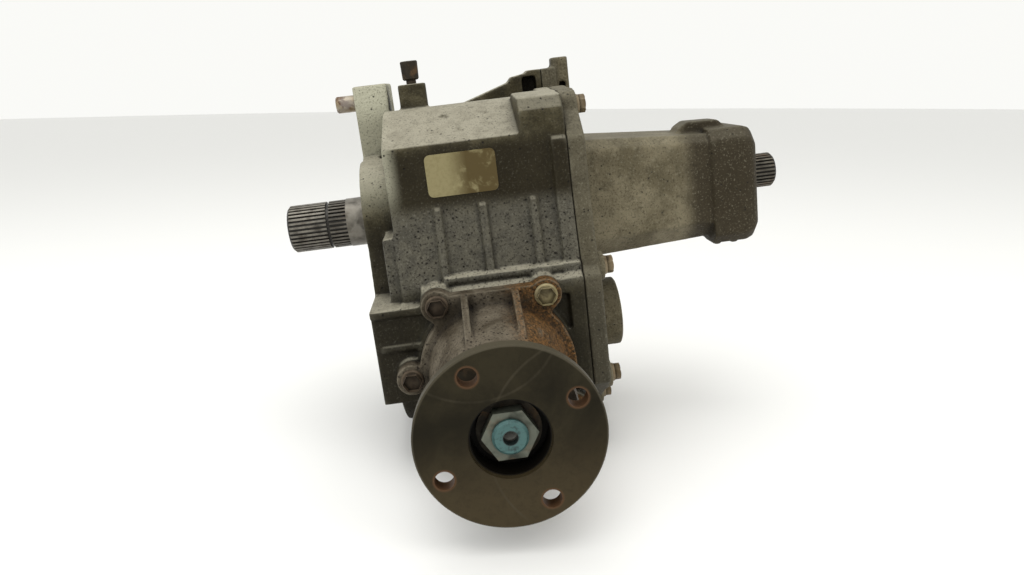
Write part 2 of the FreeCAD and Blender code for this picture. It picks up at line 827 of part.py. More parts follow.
def make_countershaft():
    """Shaft with its bearing seats, the gear seats and the flange of the ring gear."""
    left = COUNTER_LEFT - 8 + END_PLAY
    right = COUNTER_RIGHT + 8 - END_PLAY
    left_seat = COUNTER_LEFT + 8
    right_seat = COUNTER_RIGHT - 8
    left_radius = COUNTER_LEFT_BEARING[0]
    right_radius = COUNTER_RIGHT_BEARING[0]
    gear_end = D.gear_station + D.gear_width / 2 + 1
    ring_back = D.pinion_station + RING_DEPTH
    shaft = new_body("countershaft", COUNTER_AXIS)
    revolve(shaft, [
        (left, 0),
        (left, left_radius - 1),
        (left + 1, left_radius),
        (left_seat, left_radius),
        (left_seat, DRIVEN_GEAR_SEAT),
        (gear_end, DRIVEN_GEAR_SEAT),
        (gear_end, RING_SEAT),
        (ring_back, RING_SEAT),
        (ring_back, 36),
        (ring_back + RING_FLANGE, 36),
        (ring_back + RING_FLANGE, 19),
        (right_seat, 17),
        (right_seat, right_radius),
        (right - 1, right_radius),
        (right, right_radius - 1),
        (right, 0),
    ])
    cut_circles(shaft, "YZ_Plane", ring_back, ring_bolt_places(), RING_BOLT + 0.3, RING_FLANGE, True)
    finish(shaft, "countershaft")


def make_helical_gears(gear_seat):
    drive = int(D.drive_teeth.value)
    driven = int(D.driven_teeth.value)
    helical_gear("drive_gear", drive, 1, -math.pi / 2, INPUT_AXIS, gear_seat.value)
    ratio_phase = math.pi / 2 + math.pi / driven
    helical_gear("driven_gear", driven, -1, ratio_phase, COUNTER_AXIS, DRIVEN_GEAR_SEAT.value)


def make_bevel_gears():
    ring_cone, pinion_cone, cone_distance, module = bevel_numbers()
    ring_teeth = D.ring_teeth.value
    pinion_teeth = D.pinion_teeth.value
    inner = cone_distance - D.bevel_face.value

    def on_cone(distance, cone, height):
        """A point (along, radius) at a distance on the pitch cone, raised by a height."""
        along = distance * math.cos(cone) - height * math.sin(cone)
        radius = distance * math.sin(cone) + height * math.cos(cone)
        return along, radius

    tip = module
    root = -1.2 * module
    ring_blank = blank([
        on_cone(inner, ring_cone, tip + 1),
        on_cone(cone_distance, ring_cone, tip + 1),
        on_cone(cone_distance, ring_cone, root - 1),
        on_cone(inner, ring_cone, root - 1),
    ])
    teeth = bevel_teeth(ring_teeth, ring_cone, math.pi + math.pi / ring_teeth)
    inner_root = on_cone(inner, ring_cone, root)
    outer_root = on_cone(cone_distance, ring_cone, root)
    back_local = RING_DEPTH.value
    web = blank([
        (inner_root[0], inner_root[1]),
        outer_root,
        (back_local, outer_root[1]),
        (back_local, RING_SEAT.value),
        (back_local - 8, RING_SEAT.value),
        (back_local - 8, inner_root[1] - 4),
    ])
    holes = []
    for y, z in ring_bolt_places():
        centre = Vector(back_local - 12, y, z)
        holes.append(Part.makeCylinder(RING_BOLT.value, 12, centre, Vector(1, 0, 0)))
    ring = teeth.common(ring_blank).fuse(web).cut(holes)
    code_part("ring_gear", ring, (D.pinion_station, 0, -D.axis_drop))

    pinion_blank = blank([
        (on_cone(inner, pinion_cone, tip)[0], 0),
        on_cone(inner, pinion_cone, tip + 1),
        on_cone(cone_distance, pinion_cone, tip + 1),
        on_cone(cone_distance, pinion_cone, root),
        (on_cone(cone_distance, pinion_cone, root)[0], 0),
    ])
    shaft = new_body("pinion_shaft_blank", PINION_AXIS, ALONG["-Y"])
    start = on_cone(cone_distance, pinion_cone, root)[0] - 2
    head_seat = HEAD_STATION - 10.5
    thread_end = FLANGE_FLOOR + WASHER_THICKNESS + NUT_HEIGHT + 3.5
    revolve(shaft, [
        (start, 0),
        (start, 19),
        (head_seat, 22.5),
        (head_seat, 17.5),
        (HEAD_STATION + 12, 17.5),
        (HEAD_STATION + 14, 15.5),
        (TAIL_STATION - 12, 15.5),
        (TAIL_STATION - 11, 15),
        (TAIL_STATION + 9, 15),
        (TAIL_STATION + 9, 14),
        (FLANGE_FLOOR - 4, 14),
        (FLANGE_FLOOR - 4, D.pinion_thread_radius),
        (thread_end - 1.5, D.pinion_thread_radius),
        (thread_end, D.pinion_thread_radius - 1.5),
        (thread_end, 4.5),
        (thread_end - 8, 4.5),
        (thread_end - 10.5, 0),
    ])
    doc.recompute()
    turned_shaft = shaft.Shape.copy()
    turned_shaft.Placement = FreeCAD.Placement()
    teeth = bevel_teeth(pinion_teeth, pinion_cone, 0.0)
    pinion = teeth.common(pinion_blank).fuse(turned_shaft)
    code_part("pinion_shaft", pinion, PINION_AXIS, ALONG["-Y"])


# Pinion group

def make_pinion_group():
    hub_start = TAIL_STATION + 9
    disc_back = D.flange_face - D.flange_thickness
    hub = D.flange_hub_radius
    recess = D.flange_recess_radius
    flange = new_body("companion_flange", PINION_AXIS, ALONG["-Y"])
    revolve(flange, [
        (hub_start, 14),
        (hub_start, hub - 1),
        (hub_start + 1, hub),
        (disc_back - 19, hub),
        (disc_back - 14, recess + 7),
        (disc_back, recess + 9),
        (disc_back, D.flange_radius - 1),
        (disc_back + 1, D.flange_radius),
        (D.flange_face - 1, D.flange_radius),
        (D.flange_face, D.flange_radius - 1),
        (D.flange_face, recess + 1.4),
        (D.flange_face - 3, recess + 1.4),
        (D.flange_face - 3, recess),
        (FLANGE_FLOOR, recess),
        (FLANGE_FLOOR, 14),
    ])
    holes = []
    for index in range(FLANGE_HOLES):
        turn = math.radians(FLANGE_HOLE_ANGLE + 90 * index)
        circle = D.flange_bolt_circle / 2
        holes.append((circle * math.cos(turn), circle * math.sin(turn)))
    cut_circles(flange, "YZ_Plane", D.flange_face + 1, holes, D.flange_hole_radius, D.flange_thickness + 4)
    finish(flange, "companion_flange")

    turned_part("dust_deflector", PINION_AXIS, "-Y", [
        (disc_back - 22, hub),
        (disc_back - 20.5, hub),
        (disc_back - 20.5, 45),
        (disc_back - 29, 46.5),
        (disc_back - 29, 45),
        (disc_back - 22, 43.5),
    ])
    turned_ring("flange_washer", PINION_AXIS, "-Y", FLANGE_FLOOR, FLANGE_FLOOR + WASHER_THICKNESS,
                D.pinion_thread_radius, size(20))
    spacer_start = HEAD_STATION + 9.5
    spacer_end = TAIL_STATION - 8
    turned_part("collapsible_spacer", PINION_AXIS, "-Y", [
        (spacer_start, 17.5),
        (HEAD_STATION + 14, 17.5),
        (spacer_end, 15.5),
        (spacer_end, 18),
        ((spacer_start + spacer_end) / 2 + 6, 18.5),
        ((spacer_start + spacer_end) / 2, 22),
        ((spacer_start + spacer_end) / 2 - 6, 20),
        (spacer_start, 20),
    ])
    nut = doc.addObject("Part::Prism", "lock_nut_hexagon")
    nut.Polygon = 6
    bind(nut, "Circumradius", D.nut_across_flats / math.sqrt(3))
    bind(nut, "Height", NUT_HEIGHT)
    bore = doc.addObject("Part::Cylinder", "lock_nut_bore")
    bind(bore, "Radius", D.pinion_thread_radius)
    bind(bore, "Height", NUT_HEIGHT)
    nut_start = FLANGE_FLOOR + WASHER_THICKNESS
    face_on = Rotation(Vector(1, 0, 0), 90)
    for solid in (nut, bore):
        place(solid, at(PINION_AXIS, 0, -nut_start), face_on)
    lock_nut = doc.addObject("Part::Cut", "lock_nut")
    lock_nut.Base = nut
    lock_nut.Tool = bore
    finish(lock_nut, "lock_nut")


# Pinion housing

def housing_bolt_places():
    """(X, Z) of the housing bolts, relative to the pinion axis. One sits a little nearer."""
    places = []
    for angle in HOUSING_BOLT_ANGLES:
        turn = math.radians(angle)
        circle = D.housing_bolt_circle
        if angle == INNER_BOLT_ANGLE:
            circle = circle - INNER_BOLT_SHIFT
        places.append((circle * math.cos(turn), circle * math.sin(turn)))
    return places


def on_case(places):
    """The same places in the case's own XZ coordinates."""
    return [(x + D.pinion_station, z - D.axis_drop) for x, z in places]


def make_pinion_housing():
    seat = D.block_front
    front = seat + D.housing_flange_thickness
    nose = D.housing_nose
    spigot_end = size(62)
    housing = new_body("pinion_housing", PINION_AXIS, ALONG["-Y"])
    head_outside = HEAD_BEARING[1]
    tail_outside = TAIL_BEARING[1]
    revolve(housing, [
        (spigot_end, head_outside),
        (spigot_end, D.housing_spigot),
        (seat - 9, D.housing_spigot),
        (seat - 9, D.housing_spigot - O_RING_DEPTH),
        (seat - 9 + O_RING_WIDTH, D.housing_spigot - O_RING_DEPTH),
        (seat - 9 + O_RING_WIDTH, D.housing_spigot),
        (seat, D.housing_spigot),
        (seat, D.housing_flange),
        (front, D.housing_flange),
        (front, D.housing_nose_radius + 10),
        (nose - 24, D.housing_nose_radius),
        (nose - 1.5, D.housing_nose_radius),
        (nose, D.housing_nose_radius - 1.5),
        (nose, tail_outside),
        (TAIL_STATION - 9, tail_outside),
        (TAIL_STATION - 9, tail_outside - 4.5),
        (HEAD_STATION + 26, tail_outside - 4),
        (HEAD_STATION + 10.5, head_outside - 5),
        (HEAD_STATION + 10.5, head_outside),
    ])
    ears = housing_bolt_places()
    top_pad = rectangle(-36, 40, 30, 61)
    pad_outline(housing, "YZ_Plane", seat, top_pad, D.housing_flange_thickness)
    for x, z in ears:
        pad_circle(housing, "YZ_Plane", seat, (x, z), EAR_RADIUS, D.housing_flange_thickness)
        arm = [(x * 0.5 - z * 0.16, z * 0.5 + x * 0.16), (x - z * 0.16, z + x * 0.16),
               (x + z * 0.16, z - x * 0.16), (x * 0.5 + z * 0.16, z * 0.5 - x * 0.16)]
        pad_outline(housing, "YZ_Plane", seat + 1, arm, D.housing_flange_thickness - 2)
    for side in (-1, 1):
        for up in (-1, 1):
            middle = side * RIB_OFFSET
            outer = 60 if up > 0 else 50
            sketch = new_sketch(housing, "XZ_Plane", -middle - HOUSING_RIB / 2)
            draw_outline(sketch, [
                (front - 1, up * 36),
                (front - 1, up * outer),
                (front + 6, up * outer),
                (nose - 34, up * 42),
                (nose - 26, up * 36),
            ])
            pad(housing, sketch, HOUSING_RIB)
    cut_circles(housing, "YZ_Plane", seat + D.housing_flange_thickness + 2, ears, D.bolt_hole_radius,
                D.housing_flange_thickness + 4)
    finish(housing, "pinion_housing")

    turned_ring("pinion_oil_seal", PINION_AXIS, "-Y", nose - 14, nose - 3,
                D.flange_hub_radius + D.running_clearance, size(tail_outside))


# Joint between main case and extension housing

def joint_bolt_places():
    """(Y, Z) of the cover bolts, round the joint face."""
    front = D.block_front
    return [
        (-48, 74),
        (-78, -44),
        (-front + 30, -133),
        (-16, -D.axis_drop - D.sump_radius + 4),
        (52, -D.axis_drop - 50),
        (D.sump_radius + 4, -D.axis_drop + 24),
        (D.drum_radius + 3, -8),
        (62, 64),
    ]


def joint_outline(body, start, thickness):
    """The flange that both castings have at the joint face, with its bolt bosses."""
    rim = D.joint_rim
    upper = D.drum_radius + rim
    lower = D.sump_radius + rim
    drop = -D.axis_drop
    front = -(D.front_wall + rim)
    round_top = new_sketch(body, "YZ_Plane", start)
    draw_flat_circle(round_top, upper, -front)
    pad(body, round_top, thickness)
    pad_circle(body, "YZ_Plane", start, (0, drop), lower, thickness)
    pad_outline(body, "YZ_Plane", start, [(0, 0), (upper, 0), (lower, drop), (0, drop)], thickness)
    low_front = -D.block_front
    pad_outline(body, "YZ_Plane", start, [
        (0, 0),
        (0, upper - 1),
        (-44, upper - 2),
        (front, 52),
        (front, 14),
        (-D.lower_front - rim, -D.shelf_height),
        (low_front, -D.shelf_height - 6),
        (low_front, -D.block_bottom - rim),
        (-42, drop - lower + 12),
        (0, drop),
    ], thickness)
    for y, z in joint_bolt_places():
        pad_circle(body, "YZ_Plane", start, (y, z), JOINT_BOSS, thickness)
    lug = rectangle(REAR_LUG_FRONT, REAR_LUG_FRONT + REAR_LUG_DEPTH, 40, D.ear_top - 3)
    pad_outline(body, "YZ_Plane", start, lug, thickness)


# Main case

def make_main_case():
    case = new_body("main_case")
    split = D.split_plane
    drop = -D.axis_drop
    start = D.body_start
    length = split - start
    front = D.front_wall
    ledge = D.ledge_height
    seat = D.block_front
    block = seat - 4
    bottom = D.block_bottom
    tangent = math.radians(25)

    # Drum round the drive gear, sump round the countershaft, wall that joins them
    drum = new_sketch(case, "YZ_Plane", start)
    draw_flat_circle(drum, D.drum_radius, front)
    pad(case, drum, length)
    pad_circle(case, "YZ_Plane", size(8), (0, drop), D.sump_radius, split - 8)
    rear = [(0, 0), (D.drum_radius, 0), (D.sump_radius, drop), (0, drop)]
    pad_outline(case, "YZ_Plane", start, rear, length)

    # Flat front wall and sloping roof
    pad_outline(case, "YZ_Plane", start, [
        (0, -ledge - 8),
        (-front, -ledge - 8),
        (-front, D.ridge_height),
        (-D.drum_radius * math.sin(tangent), D.drum_radius * math.cos(tangent)),
        (0, 0),
    ], length)

    # The front wall leans forward below the label, down to the shelf
    pad_outline(case, "YZ_Plane", start, [
        (0, 16),
        (-front + 2, 16),
        (-front, 13),
        (-D.lower_front, -D.shelf_height),
        (-D.lower_front, -ledge),
        (0, -ledge),
    ], length)

    # Lower block that carries the pinion housing, and the slope above it
    pad_outline(case, "YZ_Plane", 0, [
        (0, -ledge),
        (-block, -ledge),
        (-block, -bottom),
        (-54, -bottom),
        (0, drop),
    ], split)
    pad_outline(case, "YZ_Plane", size(38), [
        (0, -ledge - 4),
        (-seat, -ledge - 4),
        (-seat, -D.shelf_height - 6),
        (-D.lower_front, -D.shelf_height),
        (0, -D.shelf_height),
    ], split - 38)

    # Mounting face: input boss, flange and ear
    pad_circle(case, "YZ_Plane", 0, (0, 0), D.boss_radius, start + 6)
    pad_outline(case, "YZ_Plane", 0, [
        (-D.boss_radius + 3, -16),
        (-D.boss_radius - 3, -ledge),
        (-block, -ledge),
        (-block, -bottom),
        (52, -bottom),
        (80, drop),
        (MOUNT_REAR + 11, -36),
        (MOUNT_REAR + 11, 28),
        (66, 66),
        (0, 44),
    ], MOUNT_FLANGE)
    ear_back = D.ear_front + D.ear_width
    ear = rectangle(D.ear_front, ear_back, 20, D.ear_top)
    pad_outline(case, "YZ_Plane", 0, ear, D.ear_depth)

    # Flange at the joint face, corner post and rear web
    joint_outline(case, split - D.joint_flange, D.joint_flange)
    pad_outline(case, "YZ_Plane", split - 33, [
        (-front, 6),
        (-front, 74),
        (-front + 9, 84),
        (-20, 87),
        (0, 60),
        (0, 6),
    ], size(33))
    web_top = D.ear_top - 3
    pad_outline(case, "XZ_Plane", -(REAR_LUG_FRONT + REAR_LUG_DEPTH), [
        (80, 50),
        (80, 80),
        (128, 95),
        (131, 99),
        (split, web_top),
        (split, 50),
    ], REAR_LUG_DEPTH)
    window = new_sketch(case, "XZ_Plane", -REAR_LUG_FRONT)
    draw_outline(window, rectangle(split - 17, split - 5, 84, web_top - 5))
    pocket(case, window, size(12))

    # Breather boss on the roof
    breather = rectangle(BREATHER_X - 11, BREATHER_X + 11, BREATHER_Y - 11, BREATHER_Y + 11)
    pad_outline(case, "XY_Plane", size(60), breather, BREATHER_SEAT - 60)

    # Ribs of the front wall, which follow its lean
    half = D.rib_width / 2
    rib = [
        (-front + 3, 18),
        (-front - D.rib_height, 11),
        (-D.lower_front - D.rib_height, -D.shelf_height - 1),
        (-D.lower_front + 3, -D.shelf_height - 1),
    ]
    for station in RIB_STATIONS:
        pad_outline(case, "YZ_Plane", station - half, rib, D.rib_width)
    pad_outline(case, "YZ_Plane", size(15), [
        (-30, -4),
        (-front - 2, -4),
        (-front - 7, -ledge - 1),
        (-30, -ledge - 1),
    ], size(10))
    shelf_out = D.lower_front + D.rib_height + 2
    pad_outline(case, "YZ_Plane", size(56), [
        (-D.lower_front + 4, -D.shelf_height),
        (-shelf_out, -D.shelf_height),
        (-shelf_out, -D.shelf_height + 4),
        (-D.lower_front + 4, -D.shelf_height + 6),
    ], split - 56)
    left_shelf = rectangle(0, 46, -ledge - 6, -ledge)
    pad_outline(case, "XZ_Plane", block - 6, left_shelf, seat - block + 6)
    low_rib = rectangle(4, 40, -84, -80)
    pad_outline(case, "XZ_Plane", block - 4, low_rib, seat - block + 2.5)

    # Machined seat and bolt bosses of the pinion housing
    centre = (D.pinion_station, drop)
    pad_circle(case, "XZ_Plane", size(46), centre, D.housing_flange + 2, seat - 46)
    for x, z in on_case(housing_bolt_places()):
        pad_circle(case, "XZ_Plane", size(40), (x, z), EAR_RADIUS + 0.5, seat - 40)

    # Hollow inside: drum, sump, and the space between them
    wall = D.case_wall
    inside = start + wall
    inner_drum = D.drum_radius - wall
    inner_sump = D.sump_radius - wall
    hollow = new_sketch(case, "YZ_Plane", inside)
    draw_flat_circle(hollow, inner_drum, front - wall)
    pocket(case, hollow, split - inside, True)
    cut_circle(case, "YZ_Plane", COUNTER_LEFT - 2, (0, drop), inner_sump, split - COUNTER_LEFT + 2, True)
    between = new_sketch(case, "YZ_Plane", inside)
    draw_outline(between, [(-48, 0), (inner_drum, 0), (inner_sump, drop), (-48, drop)])
    pocket(case, between, split - inside, True)
    corner = new_sketch(case, "YZ_Plane", inside)
    draw_outline(corner, [(-front + wall, 0), (0, 0), (0, inner_drum - 10), (-34, 66), (-front + wall, 50)])
    pocket(case, corner, split - inside, True)

    # Oil plug bosses on the rear wall
    for x, y, z in PLUG_PLACES:
        pad_circle(case, "XZ_Plane", -y, (x, z), PLUG_BOSS, PLUG_BOSS_LENGTH)
        cut_circle(case, "XZ_Plane", -y, (x, z), PLUG_RADIUS, PLUG_BOSS_LENGTH + 1, True)

    # Bearing boss of the countershaft and the bores
    pad_circle(case, "YZ_Plane", COUNTER_LEFT - 8, (0, drop), COUNTER_LEFT_BEARING[1] + 7, size(16))
    counter_floor = COUNTER_LEFT - 8 - SHIM
    cut_circle(case, "YZ_Plane", counter_floor, (0, drop), COUNTER_LEFT_BEARING[1], size(20), True)
    cut_circle(case, "YZ_Plane", INPUT_LEFT - 9 - SHIM, (0, 0), INPUT_BEARING[1], size(40), True)
    cut_circle(case, "YZ_Plane", -1, (0, 0), INPUT_SEAL, size(30), True)
    cut_circle(case, "XZ_Plane", seat, centre, D.housing_spigot, size(60))

    # Tapped holes
    cut_circles(case, "XZ_Plane", seat, on_case(housing_bolt_places()), D.bolt_radius, size(18))
    cut_circles(case, "YZ_Plane", split, joint_bolt_places(), D.bolt_radius, D.joint_flange - 1)
    cut_circles(case, "YZ_Plane", split, JOINT_DOWEL_PLACES, JOINT_DOWEL, JOINT_DOWEL_HALF)
    cut_circles(case, "YZ_Plane", 0, tapped_mount_places(), TAPPED_HOLE, size(24), True)
    cut_circles(case, "YZ_Plane", 0, mounting_hole_places(), MOUNT_HOLE, size(29), True)
    cut_circle(case, "YZ_Plane", 0, DOWEL_PLACE, DOWEL_SHANK, DOWEL_SEAT, True)
    cut_circle(case, "XY_Plane", BREATHER_SEAT, (BREATHER_X, BREATHER_Y), BREATHER_STEM, size(30))
    finish(case, "main_case")
    return case


def mounting_hole_places():
    """(Y, Z) of the holes for the bolts that hold the unit to its neighbour."""
    return [(56, 86), (MOUNT_REAR, 16), (MOUNT_REAR, -24)]


def tapped_mount_places():
    """(Y, Z) of the tapped holes in the lower block's mounting face."""
    return [(-84, -72), (-84, -112)]


# Extension housing

def make_extension_housing():
    cover = new_body("extension_housing")
    split = D.split_plane
    drop = -D.axis_drop
    plate = D.cover_thickness
    plate_end = split + plate
    joint_outline(cover, split, plate)
    pad_circle(cover, "YZ_Plane", plate_end - 1, (0, drop), size(57), size(7))
    counter_end = plate_end + D.counter_boss_length
    pad_circle(cover, "YZ_Plane", plate_end - 1, (0, drop), D.counter_boss_radius, D.counter_boss_length + 1)

    # Raised bolt seats of the lower bolts, and the upright lug at the rear
    for y, z in raised_bolt_places():
        pad_circle(cover, "YZ_Plane", plate_end - 1, (y, z), JOINT_BOSS, RAISED_SEAT + 1)
    lug_back = REAR_LUG_FRONT + REAR_LUG_DEPTH - 2
    lug = rectangle(REAR_LUG_FRONT + 4, lug_back, 78, D.ear_top + 5)
    pad_outline(cover, "YZ_Plane", plate_end - 3, lug, size(14))

    # Tapered tube, its end block and the lugs on it
    root = tube_section(cover, plate_end - 1, D.tube_root_depth, D.tube_root_height, 0)
    tip = tube_section(cover, D.tube_end, D.tube_tip_depth, D.tube_tip_height, -2.5)
    loft = cover.newObject("PartDesign::AdditiveLoft", "tube_loft")
    loft.Profile = root
    loft.Sections = [tip]
    loft.Ruled = True
    end = D.tube_end + D.end_block_length
    half = D.end_block_half
    depth = D.tube_tip_depth + 3
    top = half - 4
    low = -half - 3
    rounding = end - END_ROUND
    straight = new_sketch(cover, "YZ_Plane", D.tube_end - 3)
    draw_outline(straight, end_outline(depth, low, top, 0))
    pad(cover, straight, rounding - D.tube_end + 3)
    for start_share, start_inset, end_share, end_inset in ((0, 0, 0.6, 0.2), (0.6, 0.2, 1, 0.65)):
        near = end_section(cover, rounding + END_ROUND * start_share, depth, low, top, start_inset)
        far = end_section(cover, rounding + END_ROUND * end_share, depth, low, top, end_inset)
        loft = cover.newObject("PartDesign::AdditiveLoft", "end_loft")
        loft.Profile = near
        loft.Sections = [far]
        loft.Ruled = True
    lump = [(248, 36), (254, top + 3), (261, top + 7), (285, top + 6), (291, top), (291, 36)]
    pad_outline(cover, "XZ_Plane", size(2), lump, size(22))
    for station in (D.tube_end + 7, end - 13):
        pad_circle(cover, "XZ_Plane", -4, (station, low), size(6), size(20))

    # Inner boss that carries the right-hand input bearing
    pad_circle(cover, "YZ_Plane", split, (0, 0), INPUT_BEARING[1] + 7, size(19), True)

    # Hollow of the tube, bearing bores, holes
    wall = D.case_wall
    turned = [
        (split - 20, 0),
        (split - 20, INPUT_BEARING[1]),
        (INPUT_RIGHT + 9, INPUT_BEARING[1]),
        (INPUT_RIGHT + 9, SHAFT_SEAL),
        (INPUT_RIGHT + 20, SHAFT_SEAL),
        (INPUT_RIGHT + 20, D.tube_root_height - wall - 2),
        (D.tube_end - 4, D.tube_tip_depth - wall - 1),
        (D.tube_end + 2, SUPPORT_OUTSIDE - 4),
        (SUPPORT_START, SUPPORT_OUTSIDE - 4),
        (SUPPORT_START, SUPPORT_OUTSIDE),
        (end + 1, SUPPORT_OUTSIDE),
        (end + 1, 0),
    ]
    doc.recompute()
    revolve(cover, turned, groove=True)
    cut_circle(cover, "YZ_Plane", split, (0, drop), COUNTER_RIGHT_BEARING[1], COUNTER_RIGHT + 8 - split, True)
    cut_circles(cover, "YZ_Plane", split, joint_bolt_places(), D.bolt_hole_radius, plate + 8, True)
    cut_circles(cover, "YZ_Plane", split, JOINT_DOWEL_PLACES, JOINT_DOWEL, JOINT_DOWEL_HALF, True)
    cut_circle(cover, "XZ_Plane", -REAR_LUG_FRONT, (plate_end + 5, 88), size(3), size(12))
    finish(cover, "extension_housing")
    return counter_end


def raised_bolt_places():
    """(Y, Z) of the cover bolts whose seats stand out of the plate."""
    return [place for place in joint_bolt_places() if size(place[1]).value < -20]


def flush_bolt_places():
    return [place for place in joint_bolt_places() if size(place[1]).value >= -20]


def tube_section(body, station, half_depth, half_height, shift):
    """An octagonal section of the cast tube, round at the back and squarer in front."""
    sketch = new_sketch(body, "YZ_Plane", station)
    front_cut = half_height * 0.16
    back_cut = half_height * 0.34
    top = half_height + shift
    low = -half_height + shift
    draw_outline(sketch, [
        (-half_depth, low + back_cut),
        (-half_depth, top - front_cut),
        (-half_depth + front_cut, top),
        (half_depth - back_cut, top),
        (half_depth, top - back_cut),
        (half_depth, low + back_cut),
        (half_depth - back_cut, low),
        (-half_depth + back_cut, low),
    ])
    return sketch


def end_outline(depth, low, top, inset):
    """Outline of the end block, drawn in by a share of its end rounding."""
    inset = END_ROUND * inset
    corner = END_CORNER
    near = -depth + inset
    back = depth - inset
    low = low + inset
    top = top - inset
    return [
        (near, low + 8),
        (near, top - 9),
        (near + 9, top),
        (back - corner, top),
        (back, top - corner),
        (back, low + corner),
        (back - corner, low),
        (near + 8, low),
    ]


def end_section(body, station, depth, low, top, inset):
    sketch = new_sketch(body, "YZ_Plane", station)
    draw_outline(sketch, end_outline(depth, low, top, inset))
    return sketch


# Small parts of the case

def make_seals_and_dowel():
    play = D.running_clearance
    turned_ring("input_oil_seal", INPUT_AXIS, "+X", size(1), size(9), D.input_radius + play, INPUT_SEAL)
    seal_start = INPUT_RIGHT + 11
    turned_ring("hollow_shaft_seal", INPUT_AXIS, "+X", seal_start, seal_start + 8,
                D.inner_radius + play, SHAFT_SEAL)
    ring_start = SUPPORT_START + SUPPORT_WIDTH
    turned_ring("support_snap_ring", INPUT_AXIS, "+X", ring_start, ring_start + 1.6,
                SUPPORT_OUTSIDE - 3, SUPPORT_OUTSIDE)
    end = D.tube_end + D.end_block_length
    turned_ring("output_oil_seal", INPUT_AXIS, "+X", end - 9, end - 1, D.inner_radius + 1 + play, SUPPORT_OUTSIDE)
    turned_part("mounting_dowel", (0, DOWEL_PLACE[0], DOWEL_PLACE[1]), "+X", [
        (-DOWEL_REACH, 0),
        (-DOWEL_REACH, DOWEL_RADIUS - 1),
        (-DOWEL_REACH + 1, DOWEL_RADIUS),
        (0, DOWEL_RADIUS),
        (0, DOWEL_SHANK),
        (DOWEL_SEAT, DOWEL_SHANK),
        (DOWEL_SEAT, 0),
    ])
    breather_base = (BREATHER_X, BREATHER_Y, BREATHER_SEAT)
    turned_part("breather_stem", breather_base, "+Z", [
        (-12, 0),
        (-12, BREATHER_STEM),
        (0, BREATHER_STEM),
        (3, BREATHER_STEM),
        (6, 3),
        (6, 0),
    ])
    turned_part("breather_cap", breather_base, "+Z", [
        (3, 5.5),
        (3, BREATHER_STEM),
        (6, 3),
        (6, 0),
        (18, 0),
        (18, 6.4),
        (17.2, 7),
        (4.2, 6.6),
    ])


# Bolts

def hexagon_bolts(node, places, turn, head_flats, head_height, flange_radius, shank, stem_radius):
    """Flanged hexagon bolts that share one node. Their heads point along the turned Z axis."""
    bolts = []
    for number, base in enumerate(places, start=1):
        parts = []
        head = doc.addObject("Part::Prism", f"{node}_head_{number}")
        head.Polygon = 6
        bind(head, "Circumradius", head_flats / math.sqrt(3))
        bind(head, "Height", head_height)
        collar = doc.addObject("Part::Cylinder", f"{node}_collar_{number}")
        bind(collar, "Radius", flange_radius)
        bind(collar, "Height", COLLAR_HEIGHT)
        for solid in (head, collar):
            place(solid, base, turn)
            parts.append(solid)
        stem = doc.addObject("Part::Cylinder", f"{node}_shank_{number}")
        bind(stem, "Radius", stem_radius)
        bind(stem, "Height", shank)
        back = turn.multVec(Vector(0, 0, -1))
        length = size(shank)
        place(stem, tuple(size(b) + length * c for b, c in zip(base, back)), turn)
        parts.append(stem)
        bolt = doc.addObject("Part::MultiFuse", f"{node}_{number}")
        bolt.Shapes = parts
        bolts.append(bolt)
    group = doc.addObject("Part::Compound", node)
    group.Links = bolts
    return finish(group, node)


def make_bolts():
    """Bolts of the pinion housing, the cover and the ring gear."""
    seat = D.block_front + D.housing_flange_thickness
    forward = Rotation(Vector(1, 0, 0), 90)
    sideways = Rotation(Vector(0, 1, 0), 90)
    places = [(x, -seat, z) for x, z in on_case(housing_bolt_places())]
    hexagon_bolts("housing_bolts", places, forward, HEAD_FLATS, HEAD_HEIGHT, COLLAR_RADIUS,
                  D.housing_flange_thickness + 16, D.bolt_radius)

    plate_end = D.split_plane + D.cover_thickness
    grip = D.cover_thickness + D.joint_flange - 3
    flush = [(plate_end, y, z) for y, z in flush_bolt_places()]
    hexagon_bolts("upper_cover_bolts", flush, sideways, HEAD_FLATS, HEAD_HEIGHT, size(7.5), grip,
                  D.bolt_radius)
    raised = [(plate_end + RAISED_SEAT, y, z) for y, z in raised_bolt_places()]
    hexagon_bolts("lower_cover_bolts", raised, sideways, HEAD_FLATS, HEAD_HEIGHT, size(7.5),
                  grip + RAISED_SEAT, D.bolt_radius)

    ring_seat = D.pinion_station + RING_DEPTH + RING_FLANGE
    places = [(ring_seat, y, z - D.axis_drop) for y, z in ring_bolt_places()]
    hexagon_bolts("ring_gear_bolts", places, sideways, size(9), size(4.5), size(5.2),
                  RING_FLANGE + 7, RING_BOLT)


def make_oil_plugs():
    """Filler plug and drain plug on the rear wall, each on its sealing washer."""
    backward = Rotation(Vector(1, 0, 0), -90)
    for node, (x, y, z) in zip(("filler_plug", "drain_plug"), PLUG_PLACES):
        seat = (x, y + PLUG_WASHER, z)
        hexagon_bolts(node, [seat], backward, size(22), size(8), size(12.5), size(16), PLUG_RADIUS)
        turned_ring(f"{node}_washer", (x, y, z), "+Y", 0, PLUG_WASHER, PLUG_RADIUS, size(13))


